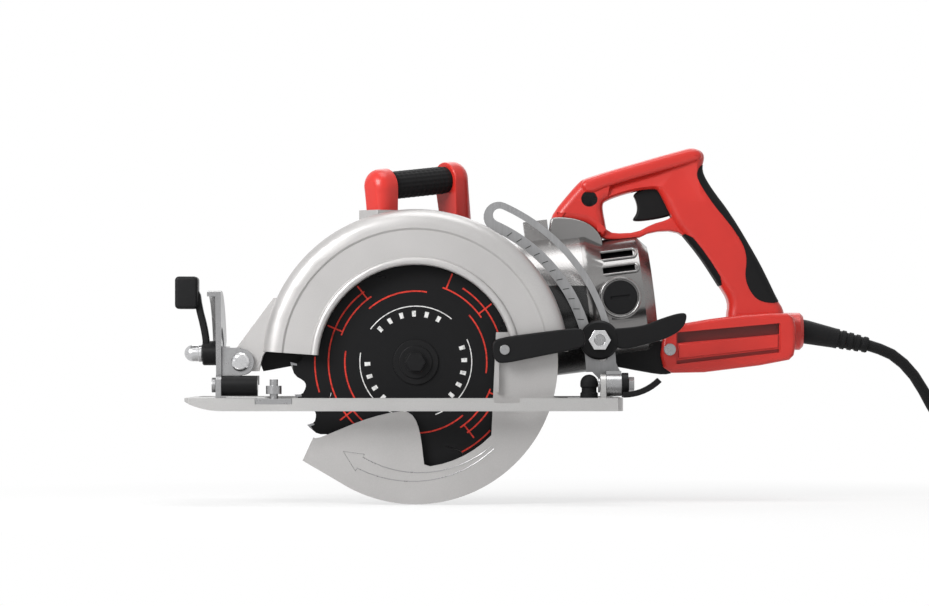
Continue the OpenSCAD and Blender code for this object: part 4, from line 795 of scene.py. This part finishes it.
class SAW_OT_shoe(bpy.types.Operator):
    """Shoe, bevel and depth hinges, link and their pins"""
    bl_idname = "saw.shoe"
    bl_label = "Shoe"

    def execute(self, context):
        s = sizes()
        soften("shoe_alloy", s.edge, "shoe")
        soften("plated_steel", s.edge, "bevel_quadrant", "front_clevis", "rear_bracket")
        soften("black_plastic", s.edge, "front_trunnion")
        soften("link_steel", s.fine_edge, "depth_link")
        soften("plated_steel", s.fine_edge, "fence_clamp", "bevel_pins", "link_pin")
        finish(bumper_piece(), "shoe_plate", "soft_grip", "bumper")
        finish(stud_piece(), "tilt_frame", "bright_steel", "bevel_stud")
        finish(slotted_pin(), "tilt_frame", "bright_steel", "depth_pin")
        finish(link_marks(s.tick_height), "link", "black_plastic")
        return {"FINISHED"}


# Motor
MOTOR_TILT = 7
MOTOR_LIFT = 29 * MM
# Black sleeve behind the vents: painted shade inside the end bell
BELL_SHADE_SLEEVE = [(38.6, 131), (40.2, 131), (40.2, 167), (38.6, 167), (38.6, 131)]


def motor_axis():
    """Lays X along the motor's rising axis."""
    rise = MOTOR_LIFT / math.cos(math.radians(MOTOR_TILT))
    return moved(0, MOTOR_Y, ARBOR.z + rise) @ turned(-MOTOR_TILT, "Y")


def motor_place():
    """Turns a spun profile onto the motor's axis."""
    return motor_axis() @ turned(90, "Y")


def bell_rims():
    """Raised rims round the vents and the brush caps, on both sides of the bell."""
    bell_r, vent_x, vent_half, cap_x, cap_y = 45.2, 154, 11.4, 152, 54.7
    loops = []
    for side in (-1, 1):
        for lift in (21.0, 32.0):
            loop = []
            for x, z in circle_loop(3.1, 40):
                x += vent_x + (vent_half if x > 0 else -vent_half)
                z += lift
                loop.append((x, side * (bell_r ** 2 - z ** 2) ** 0.5, z))
            loops.append(loop)
        loops.append([(cap_x + x, side * cap_y, z) for x, z in circle_loop(14.4)])
    axis = motor_axis()
    lines = [[axis @ (Vector(point) * MM) for point in loop] for loop in loops]
    return settle(placed("bell_rims", poly_curve("bell_rims", "3D", lines, 1.1 * MM, 3)))


class SAW_OT_motor(bpy.types.Operator):
    """Gear case, motor casing, end bell, brush caps and the parts inside"""
    bl_idname = "saw.motor"
    bl_label = "Motor"

    def execute(self, context):
        s = sizes()
        soften("motor_case", s.edge, "gear_housing", "motor_housing")
        soften("cast_alloy", s.edge, "gear_cover")
        soften("bell_alloy", s.edge, "end_bell")
        soften("black_plastic", s.edge, "brush_caps")
        finish(evened(bell_rims()), "saw", "bell_alloy")
        # Painted shade: a black sleeve inside the bell makes the vents look dark
        finish(evened(spun("bell_liner", BELL_SHADE_SLEEVE, motor_place(), 64), 35), "saw", "black_plastic")
        dress("plated_steel", "worm_bearings", "armature_bearing", "arbor_bearings", "armature_shaft", "worm")
        dress("lamination", "stator", "armature_core")
        dress("copper", "commutator")
        dress("carbon", "carbon_brushes")
        dress("black_plastic", "fan")
        return {"FINISHED"}


# Handles: outlines as shares of the rear handle's length and height
HANDLE_AT = (97, 25)
HANDLE_SIZE = (193, 171)
GRIP_HALF, BASE_HALF = 17.0, 24.0
FAR = 100.0
GRIP_SHARES = [
    (0.0, 0.68), (0.0, 0.68), (0.12, 0.845), (0.155, 0.87), (0.53, 0.992), (0.57, 1.0), (0.605, 0.985), (0.615, 0.955),
    (0.6, 0.9), (0.64, 0.82), (0.715, 0.71), (0.815, 0.52), (0.86, 0.42), (0.895, 0.335), (0.925, 0.285),
    (0.93, 0.17), (0.72, 0.15), (0.7, 0.25), (0.712, 0.325), (0.67, 0.4), (0.6, 0.523), (0.53, 0.62), (0.5, 0.66),
    (0.475, 0.72), (0.44, 0.8), (0.425, 0.822), (0.337, 0.81), (0.225, 0.768), (0.216, 0.74), (0.23, 0.66),
    (0.235, 0.62), (0.215, 0.6), (0.19, 0.635), (0.15, 0.668), (0.06, 0.675)]
STRIP_SHARES = [
    (0.21, 0.615), (0.22, 0.6), (0.26, 0.597), (0.35, 0.6), (0.41, 0.632), (0.5, 0.637), (0.55, 0.6), (0.56, 0.65),
    (0.49, 0.7), (0.465, 0.682), (0.41, 0.665), (0.35, 0.628), (0.26, 0.624), (0.235, 0.64), (0.215, 0.66)]
BASE_SHARES = [
    (0.455, 0.215), (0.7, 0.262), (0.92, 0.28), (0.965, 0.25), (0.965, 0.1), (0.93, 0.06), (0.5, 0.0), (0.435, 0.05)]
CREST_SHARES = [
    (0.125, 0.835), (0.157, 0.867), (0.53, 0.988), (0.57, 0.996), (0.6, 0.98), (0.605, 0.95), (0.57, 0.935),
    (0.42, 0.886), (0.25, 0.831), (0.16, 0.79)]
BRACKET_SHARES = [
    (0.2, 0.055), (0.22, 0.115), (0.3, 0.145), (0.335, 0.168), (0.41, 0.172), (0.445, 0.15), (0.49, 0.14),
    (0.49, 0.012), (0.455, 0.004), (0.4, 0.012)]
RIB_SHARES = [(0.51, 0.138), (0.895, 0.178), (0.895, 0.124), (0.51, 0.076)]
TRIGGER_SHARES = [
    (0.335, 0.8), (0.349, 0.77), (0.355, 0.74), (0.352, 0.712), (0.334, 0.684), (0.352, 0.678), (0.4, 0.683),
    (0.45, 0.693), (0.49, 0.706), (0.507, 0.725), (0.505, 0.79), (0.475, 0.875), (0.42, 0.875), (0.4, 0.835)]
REAR_SHARES = [
    (0.578, 0.885), (0.6, 0.925), (0.64, 0.93), (0.68, 0.84), (0.75, 0.73), (0.85, 0.54), (0.93, 0.36), (0.895, 0.315),
    (0.822, 0.325), (0.785, 0.375), (0.768, 0.436), (0.777, 0.505), (0.765, 0.575), (0.71, 0.665), (0.65, 0.744),
    (0.598, 0.832)]
INNER_SHARES = [(0.5, 0.6), (0.58, 0.5), (0.65, 0.38), (0.69, 0.405), (0.621, 0.53), (0.55, 0.629)]
# Sunk panel and grooves of the base, each with its depth
SUNK_SHARES = [
    ([(0.5, 0.186), (0.905, 0.227), (0.905, 0.108), (0.5, 0.052)], 2.2),
    ([(0.505, 0.19), (0.9, 0.23), (0.9, 0.182), (0.505, 0.143)], 9.0),
    ([(0.505, 0.067), (0.9, 0.118), (0.9, 0.102), (0.505, 0.051)], 5.0)]
# Upper and lower edge of the arm's hollow, with depths
HOLLOW_SHARES = [
    [(0.245, 0.833, 4.5), (0.337, 0.863, 4.5), (0.42, 0.89, 4.5), (0.51, 0.919, 3.2), (0.58, 0.94, 1.2)],
    [(0.228, 0.74, -0.3), (0.337, 0.78, -0.3), (0.425, 0.79, -0.3), (0.5, 0.76, -0.3), (0.6, 0.75, -0.3)]]
SCREW_PLACES = [(154.9, 174.0), (203.15, 186.6), (238.9, 84.85)]
SADDLE = [(99, 116), (99, 141.5), (103, 144), (115, 143.4), (124, 141.2), (131, 137.6), (136.5, 131.6), (139, 126),
          (139, 116)]


def handle_point(share, high):
    return HANDLE_AT[0] + share * HANDLE_SIZE[0], HANDLE_AT[1] + high * HANDLE_SIZE[1]


def handle_loop(shares, rounds):
    return cut_corners([handle_point(*share) for share in shares], rounds)


def handle_slab(name, shares, half, rounding, rounds=2, steps=4, grow=0.0, aside=0.0):
    """A rounded plate of a handle outline, aside from the motor's plane."""
    return slab(name, [handle_loop(shares, rounds)], half, rounding, side_on(0, MOTOR_Y + aside * MM, 0), steps, grow)


def prism(name, shares, low, high, rounds=0):
    """A sharp plate of a handle outline between two distances from the motor's plane."""
    loop = handle_loop(shares, rounds)
    return lofted(name, [[(x, y, z) for x, z in loop] for y in (low, high)], moved(0, MOTOR_Y, 0))


def arm_hollow(side):
    """Wedge that hollows the arm below the crest and runs out towards the hole."""
    outside = 21

    def point(share, high, aside):
        x, z = handle_point(share, high)
        return x, side * aside, z

    rings = []
    for (a, b, deep), (c, d, shallow) in zip(*HOLLOW_SHARES):
        rings.append([point(a, b, GRIP_HALF - deep), point(c, d, GRIP_HALF - shallow), point(c, d, outside),
                      point(a, b, outside)])
    return lofted("hollow", rings, moved(0, MOTOR_Y, 0), triangles=True)


def motor_envelope():
    """Room for the motor inside the handle's saddle and shoulder."""
    room, end = 0.4, 178
    shape = [(0, 0), (52, 0), (52, 132), (45, 144), (45, 170), (36, end), (0, end)]
    profile = [(r + room if r else 0, h + room if h == end else h) for r, h in shape]
    return spun("motor_room", profile, motor_place(), 72)


def rear_shell(name, rounding):
    """Both shells of the rear handle in one, open for the grips, the motor and the switch."""
    shell = handle_slab(name, GRIP_SHARES, GRIP_HALF, rounding)
    shell = combine(shell, "UNION", handle_slab("strip", STRIP_SHARES, 12, 1.6, 1, 2),
                    handle_slab("base", BASE_SHARES, BASE_HALF, 3.2, 1, 3),
                    handle_slab("crest", CREST_SHARES, 19.4, 4, 1))
    for side in (-1, 1):
        face = side * BASE_HALF
        sunk = [prism("sunk", shares, face - deep, face + deep) for shares, deep in SUNK_SHARES]
        shell = combine(shell, "DIFFERENCE", arm_hollow(side), *sunk)
        shell = combine(shell, "UNION", handle_slab("rib", RIB_SHARES, 1.8, 0.7, 0, 2, aside=face - side * 2.4))
    plane = moved(0, MOTOR_Y, 0)
    saddle_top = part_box("motor_housing")[1].z / MM + 0.4
    shell = combine(
        shell, "DIFFERENCE", prism("rear", REAR_SHARES, -FAR, FAR, 2), prism("inner", INNER_SHARES, -FAR, FAR, 1),
        motor_envelope(), block("saddle", (85, -13.4, 90), (116, 13.4, saddle_top), plane),
        block("pocket", (160.7, -7.5, 138.2), (206, 7.5, 177.2), plane))
    boss = [(0, 0), (14, 0), (14, 18), (11.5, 20.5), (0, 20.5)]
    return combine(shell, "UNION", spun("boss", boss, end_on(269.5 * MM, MOTOR_Y, 58.3 * MM), 40))


def soft_grip(name, shares, rounds, rounding):
    """The part of a slightly larger handle that lies within an outline."""
    larger = handle_slab(name, GRIP_SHARES, 17.35, rounding, grow=0.3)
    return combine(larger, "INTERSECT", prism("within", shares, -FAR, FAR, rounds))


def pivot_piece():
    """Flat ended pin that shows on both sides of the handle."""
    size, lead_in = span("handle_pivot") / 2, 0.6
    radius, half = size.x - 0.05, size.y
    profile = [(0, -half), (radius - 0.8, -half), (radius, lead_in - half), (radius, half - lead_in),
               (radius - 0.8, half), (0, half)]
    return evened(spun("handle_pivot_piece", profile, side_on(*middle("handle_pivot")), 40), 35)


def trigger_piece():
    """Trigger with a hollow for the finger, on its cross pin."""
    half, pin = span("trigger").y / 2, 4
    key = handle_slab("key", TRIGGER_SHARES, half - pin, 1.8, 2, 3)
    x, z = handle_point(0.445, 0.86)
    axle = spun("axle", [(0, -half), (2.4, -half), (2.4, half), (0, half)], side_on(x * MM, MOTOR_Y, z * MM), 20)
    return evened(joined("trigger_piece", key, axle), 35)


def grip_place():
    return moved(*middle("top_grip")) @ turned(39, "Z") @ turned(-6.2, "Y")


def top_leg(side, drop):
    """One leg of the top handle, from a flat inner face to a round outer end."""
    inside, thick, radius, foot, end_r = 27, 17.0, 13.0, 10.0, 10.0
    sections = [(0.0, 0.7), (0.7, 0.0)]
    for i in range(9):
        less, along = polar(end_r, math.radians(76 * i / 8))
        sections.append((thick - end_r + along, end_r - less))
    rings = []
    for along, less in sections:
        arch = [polar(radius - less, math.radians(-10 + 200 * i / 24)) for i in range(25)]
        loop = [(foot - less * 0.5, -drop)] + arch + [(less * 0.5 - foot, -drop)]
        rings.append([(side * (inside + along), y, z) for y, z in loop])
    return lofted("leg", rings, grip_place())


def knurled_grip(height):
    """Round grip with a crossed knurl that fades out at its ends."""
    sides, rows, long, radius, starts, twist = 120, 84, 53.6, 10.4, 10, 38
    rings = []
    for j in range(rows + 1):
        share = j / rows
        fade = min(1.0, 12 * share, 12 * (1 - share))
        ring = []
        for i in range(sides):
            turn = math.tau * i / sides
            cross = math.sin(starts * turn + twist * share) * math.sin(starts * turn - twist * share)
            x, y = polar(radius - height + height * fade * (0.5 + 0.5 * cross), turn)
            ring.append((x, y, (share - 0.5) * long))
        rings.append(ring)
    return lofted("top_grip_piece", rings, grip_place() @ turned(90, "Y"))


class SAW_OT_handles(bpy.types.Operator):
    """Rear handle shells, soft grips, pivot, trigger and the top handle"""
    bl_idname = "saw.handles"
    bl_label = "Handles"

    def execute(self, context):
        s = sizes()
        rounding, gap = s.handle_round / MM, s.seam / MM / 2
        plane = moved(0, MOTOR_Y, 0)
        left = rear_shell("handle_left_piece", rounding)
        right = placed("handle_right_piece", left.data.copy())
        left = combine(left, "INTERSECT", block("left", (-300, -300, -300), (1000, -gap, 300), plane))
        right = combine(right, "INTERSECT", block("right", (-300, gap, -300), (1000, 300, 300), plane))
        recess = [(0, 0), (5, 0), (5, -9), (0, -9)]
        for x, z in SCREW_PLACES:
            sunk = spun("recess", recess, side_on(x * MM, MOTOR_Y + 11 * MM, z * MM), 32)
            right = combine(right, "DIFFERENCE", sunk)
        rear = soft_grip("rear_grip_piece", REAR_SHARES, 2, rounding)
        inner = soft_grip("inner_grip_piece", INNER_SHARES, 1, rounding)
        for obj, look, node in ((left, "handle_red", "handle_left"), (right, "handle_red", "handle_right"),
                                (rear, "soft_grip", "rear_grip"), (inner, "soft_grip", "inner_grip")):
            finish(evened(merged(obj), 32), "saw", look, node)
        bracket = handle_slab("handle_bracket", BRACKET_SHARES, 17.4, 1.8, 1, 3)
        finish(evened(bracket, 32), "saw", "black_plastic")
        finish(pivot_piece(), "saw", "black_plastic", "handle_pivot")
        finish(trigger_piece(), "trigger_key", "black_plastic", "trigger")
        saddle = slab("saddle_cap", [cut_corners(SADDLE, 1)], 18.6, 1.6, side_on(0, MOTOR_Y, 0))
        finish(evened(saddle, 32), "saw", "bell_alloy")
        dress("black_plastic", "switch_body")
        legs = joined("top_handle_piece", top_leg(-1, 18.4), top_leg(1, 30.8))
        finish(evened(legs), "saw", "red_plastic", "top_handle")
        finish(evened(knurled_grip(s.knurl / MM), 50), "saw", "soft_grip", "top_grip")
        return {"FINISHED"}


# Levers and fasteners
PADDLE = [(0, 8), (20, 9), (34, 11), (44, 15.5), (60, 20.5), (65, 19), (62, 9), (52, 2), (34, -3.5), (12.8, -8.4)]
STEM = [(0, 6), (5, 6), (5, 10), (3.4, 20), (-0.2, 34), (-1.8, 46), (-6, 46), (-5.4, 34), (-1.8, 20), (0, 10)]
SCREW_DROP = 5.8 * MM


def paddle_piece():
    """Depth lever: a bored hub and a paddle with a round tip."""
    low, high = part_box("depth_lever")
    deep = span("depth_lever").y
    hub = [(4.3, 0), (14.5, 0), (14.5, deep - 1.6), (13, deep), (4.3, deep), (4.3, 0)]
    hub = spun("hub", hub, side_on(CLAMP.x, high.y, CLAMP.z))
    arm = slab("arm", [cut_corners(PADDLE, 2)], 3, 1.3, side_on(CLAMP.x, low.y + 3.5 * MM, CLAMP.z))
    return evened(joined("depth_lever_piece", hub, arm), 35)


def bevel_lever_piece():
    """Front bevel lever: a bored hub, a leaning stem and a thumb pad."""
    low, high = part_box("front_bevel_lever")
    bore, radius, deep = 4.4, 9, 11.5
    face = high.x - deep * MM
    hub = [(bore, 0), (radius - 0.8, 0), (radius, 0.8), (radius, deep), (bore, deep), (bore, 0)]
    hub = spun("hub", hub, end_on(face, STUD.y, STUD.z), 40)
    stem = slab("stem", [cut_corners(STEM, 1)], 4.5, 1.2, side_on(face, STUD.y, STUD.z))
    wide, tall, bend = 17, 24, 3
    pad = []
    for i, (x, z) in enumerate(((wide - bend, tall - bend), (bend, tall - bend), (bend, bend), (wide - bend, bend))):
        arc = [polar(bend, QUARTER * (i + j / 5)) for j in range(6)]
        pad += [(x + a, z + b) for a, b in arc]
    pad = slab("pad", [pad], 10, 2.2, side_on(low.x, STUD.y, high.z - tall * MM))
    return evened(joined("front_bevel_lever_piece", hub, stem, pad), 35)


class SAW_OT_levers(bpy.types.Operator):
    """Depth clamp lever, the two bevel levers and the screws"""
    bl_idname = "saw.levers"
    bl_label = "Levers"

    def execute(self, context):
        s = sizes()
        finish(paddle_piece(), "clamp_lever", "black_plastic", "depth_lever")
        soften("bright_steel", s.edge, "depth_nut", segments=3)
        soften("plated_steel", s.fine_edge, "depth_bolt")
        finish(bevel_lever_piece(), "front_lever", "black_plastic", "front_bevel_lever")
        soften("black_plastic", 0.9 * MM, "rear_bevel_lever")
        screws = soften("plated_steel", s.fine_edge, "housing_screws")
        # The handle's first screw sits down in its recess
        x, reach = SCREW_PLACES[0][0] * MM, 6 * MM
        for vert in screws.data.vertices:
            if abs(vert.co.x - x) < reach:
                vert.co.z -= SCREW_DROP
        return {"FINISHED"}


# Lead
ROUTE = [(348, 4, 45), (357, 4, 41), (366, 5, 34), (374, 6, 25), (381, 7, 14), (387, 8, 3), (394, 10, -8),
         (400, 12, -19), (407, 14, -30), (414, 16, -41), (423, 19, -50), (433, 21, -57), (443, 23, -61),
         (453, 24, -63), (463, 24, -64)]
BOOT = Vector((290, 4, 58.345)) * MM
BOOT_TILT = 12
BOOT_WAY = Vector((math.cos(math.radians(BOOT_TILT)), 0, -math.sin(math.radians(BOOT_TILT))))
BOOT_LEN = 50


def coil_points():
    """Two flat layers of three turns, in and back out, then a short way to the plug."""
    x, y, z = 463, -38, -64
    outer, step, turns, steps, last = 62, 9.3, 3, 24, 28
    inner = outer - turns * step
    points = []
    for i in range(1, int((2 * turns + 0.5) * steps) + 1):
        t = i / steps
        if t < turns:
            radius, lift = outer - step * t, 0
        elif t < turns + 0.5:
            radius, lift = inner, step * (t - turns) * 2
        else:
            radius, lift = inner + step * (t - turns - 0.5), step
        across, along = polar(radius, math.tau * t)
        points.append((x + along, y + across, z + lift))
    x, y, z = points[-1]
    return points + [(x - last, y, z)]


def strain_relief(ribs):
    """Tapered sleeve with ribs along its outer length."""
    wide, narrow, root, start, end = 8.9, 6.0, 3, 24.0, 46.0
    pitch = (end - start) / ribs
    profile = [(0, -10), (8.7, -10), (wide, 0), (wide, root)]
    for i in range(ribs):
        h = start + pitch * i
        r = wide - 2.9 * (h - root) / (end - root)
        profile += [(r, h), (r, h + pitch * 0.55), (r - 1.1, h + pitch * 0.62), (r - 1.1, h + pitch * 0.95)]
    profile += [(narrow, 46.6), (narrow, 49), (5.4, BOOT_LEN), (4.3, BOOT_LEN), (4.2, 44), (0, 44)]
    place = moved(*BOOT) @ turned(BOOT_TILT, "Y") @ turned(90, "Y")
    return evened(spun("strain_relief_piece", profile, place, 40), 35)


def plug_piece(start):
    """Moulded plug with a ribbed neck, a waisted body and three pins."""
    place = moved(*start) @ turned(-90, "Y")
    profile = [(0, 0), (6, 0), (6.6, 1)]
    for i in range(4):
        h = 2 + 2.6 * i
        profile += [(6.8, h), (6.8, h + 1.3), (5.8, h + 1.6), (5.8, h + 2.4)]
    profile += [(7, 12.9), (10.5, 14.5), (12.4, 18), (12.8, 24), (11.6, 29), (12.0, 34), (12.9, 37), (12.9, 39.4),
                (12.3, 40), (0, 40)]
    earth = [(0, 39), (2.4, 39), (2.4, 59), (1.4, 61), (0, 61)]
    apart = 6.35
    pins = [block("pin", (-58, y - 0.8, -0.8), (-39.5, y + 0.8, 5.6), moved(*start)) for y in (-apart, apart)]
    pins.append(spun("earth", earth, moved(0, 0, -apart * MM) @ place, 20))
    return evened(joined("plug_piece", spun("plug_body", profile, place, 40), *pins), 38)


class SAW_OT_lead(bpy.types.Operator):
    """Strain relief, mains lead in its coil, tie and plug"""
    bl_idname = "saw.lead"
    bl_label = "Lead"

    def execute(self, context):
        s = sizes()
        boot_end = BOOT_LEN * MM
        points = [BOOT + BOOT_WAY * (boot_end - s.cord_d), BOOT + BOOT_WAY * boot_end]
        points += [Vector(p) * MM for p in ROUTE + coil_points()]
        data = poly_curve("mains_lead", "3D", [points], s.cord_d / 2, 4, closed=False)
        data.use_fill_caps = True
        data.materials.append(FINISHES["cord_rubber"])
        lead = placed("mains_lead", data)
        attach(lead, "saw")
        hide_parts("cord", "cord_coil")
        finish(strain_relief(s.boot_ribs), "saw", "cord_rubber", "strain_relief")
        plug = finish(plug_piece(points[-1]), "saw", "cord_rubber", "plug")
        plug.data.materials.append(FINISHES["plated_steel"])
        pins_from = points[-1].x - 41 * MM
        for face in plug.data.polygons:
            if face.center.x < pins_from:
                face.material_index = 1
        tie = soften("soft_grip", 0.5 * MM, "cord_tie")
        total = sum((b - a).length for a, b in zip(points, points[1:]))
        tuple(points[0])
        return {"FINISHED"}


# Stage
CAMERA_AT = (42.9 * MM, ARBOR.y - 3.0, 45 * MM)
CAMERA = {"sensor_width": 36, "lens": 158.6, "shift_x": -0.0106, "shift_y": 0.0496}
# Name, place, target, size and power
LAMPS = (("key", (-0.62, -0.85, 0.55), (0.0, -0.08, 0.06), 0.5, 12.5),
         ("top", (0.15, -0.2, 1.5), (0.1, -0.05, 0.08), 0.9, 9),
         ("fill", (1.5, -1.2, 0.9), (0.1, -0.05, 0.06), 1.4, 1.5),
         ("back", (0.3, 1.6, 1.4), (0.1, -0.05, 0.08), 1.4, 10))


def lamp(name, place, target, size, power):
    data = bpy.data.lights.new(name, "AREA")
    data.size = size
    data.energy = power
    obj = placed(name, data)
    obj.location = place
    obj.rotation_euler = (Vector(target) - Vector(place)).to_track_quat("-Z", "Y").to_euler()


def floor_piece():
    """Pale floor that glows white to the eye, more so away from the saw."""
    bm = bmesh.new()
    bmesh.ops.create_grid(bm, x_segments=8, y_segments=8, size=6.0, matrix=moved(0, 0, FLOOR_Z - 0.5 * MM))
    floor = from_bmesh("floor", bm)
    p = Paint("pale_floor")
    p.set(Base_Color=p.mix(p.noise(3, 2), (0.90, 0.90, 0.90), (0.93, 0.93, 0.93)), Roughness=0.9)
    glow = p.node("ShaderNodeEmission", {}, {"Color": (1, 1, 1), "Strength": 1.0})
    centre_x, centre_y, near, fade, least = 0.1, -0.05, 0.2, 0.4, 0.7
    x, y = p.axis("X", "Y")
    dx, dy = x - centre_x, y - centre_y
    away = (dx * dx + dy * dy) ** 0.5
    far = ((away - near) / fade).held()
    share = p.seen() * (least + far * (1 - least))
    both = p.node("ShaderNodeMixShader", {}, {0: share, 1: p.shader.outputs[0], 2: glow.outputs[0]})
    p.feed(p.end.inputs[0], both.outputs[0])
    floor.data.materials.append(p.material)


def world_light(scene):
    """White to the eye, dim as a light."""
    scene.world = bpy.data.worlds.new("studio")
    scene.world.use_nodes = True
    nodes = Nodes(scene.world.node_tree)
    nodes.tree.nodes.clear()
    level = nodes.node("ShaderNodeMapRange", {}, {"Value": nodes.seen(), "To Min": 0.16, "To Max": 1.0})
    back = nodes.node("ShaderNodeBackground", {}, {"Color": (1, 1, 1), "Strength": level.outputs[0]})
    nodes.node("ShaderNodeOutputWorld", {}, {0: back.outputs[0]})


class SAW_OT_stage(bpy.types.Operator):
    """Floor, lights, world and the camera at the photograph's place"""
    bl_idname = "saw.stage"
    bl_label = "Stage"

    def execute(self, context):
        scene = context.scene
        scene.view_settings.view_transform = "Standard"
        camera = bpy.data.cameras.new("camera")
        for key, value in CAMERA.items():
            setattr(camera, key, value)
        scene.camera = placed("camera", camera)
        scene.camera.location = CAMERA_AT
        scene.camera.rotation_euler = (QUARTER, 0, 0)
        floor_piece()
        for row in LAMPS:
            lamp(*row)
        world_light(scene)
        return {"FINISHED"}


class SAW_PT_pieces(bpy.types.Panel):
    """Sizes, colours and the operators of the saw"""
    bl_idname = "SAW_PT_pieces"
    bl_label = "Worm drive saw"
    bl_space_type = "VIEW_3D"
    bl_region_type = "UI"
    bl_category = "Saw"

    def draw(self, context):
        for group in (context.scene.saw_sizes, context.scene.saw_colours):
            box = self.layout.box()
            for key in group.__annotations__:
                box.prop(group, key)
        for operator in OPERATORS:
            self.layout.operator(operator.bl_idname)


OPERATORS = (SAW_OT_stage, SAW_OT_lead, SAW_OT_guards, SAW_OT_blade, SAW_OT_shoe, SAW_OT_motor, SAW_OT_handles,
             SAW_OT_levers)
CLASSES = (SawSizes, SawColours) + OPERATORS + (SAW_PT_pieces,)


def register():
    for item in CLASSES:
        bpy.utils.register_class(item)
    bpy.types.Scene.saw_sizes = PointerProperty(type=SawSizes)
    bpy.types.Scene.saw_colours = PointerProperty(type=SawColours)


def unregister():
    del bpy.types.Scene.saw_colours
    del bpy.types.Scene.saw_sizes
    for item in reversed(CLASSES):
        bpy.utils.unregister_class(item)


def main():
    register()
    make_finishes()
    bpy.ops.saw.stage()
    bpy.ops.saw.lead()
    bpy.ops.saw.guards()
    bpy.ops.saw.blade()
    bpy.ops.saw.shoe()
    bpy.ops.saw.motor()
    bpy.ops.saw.handles()
    bpy.ops.saw.levers()


if __name__ == "__main__":
    main()
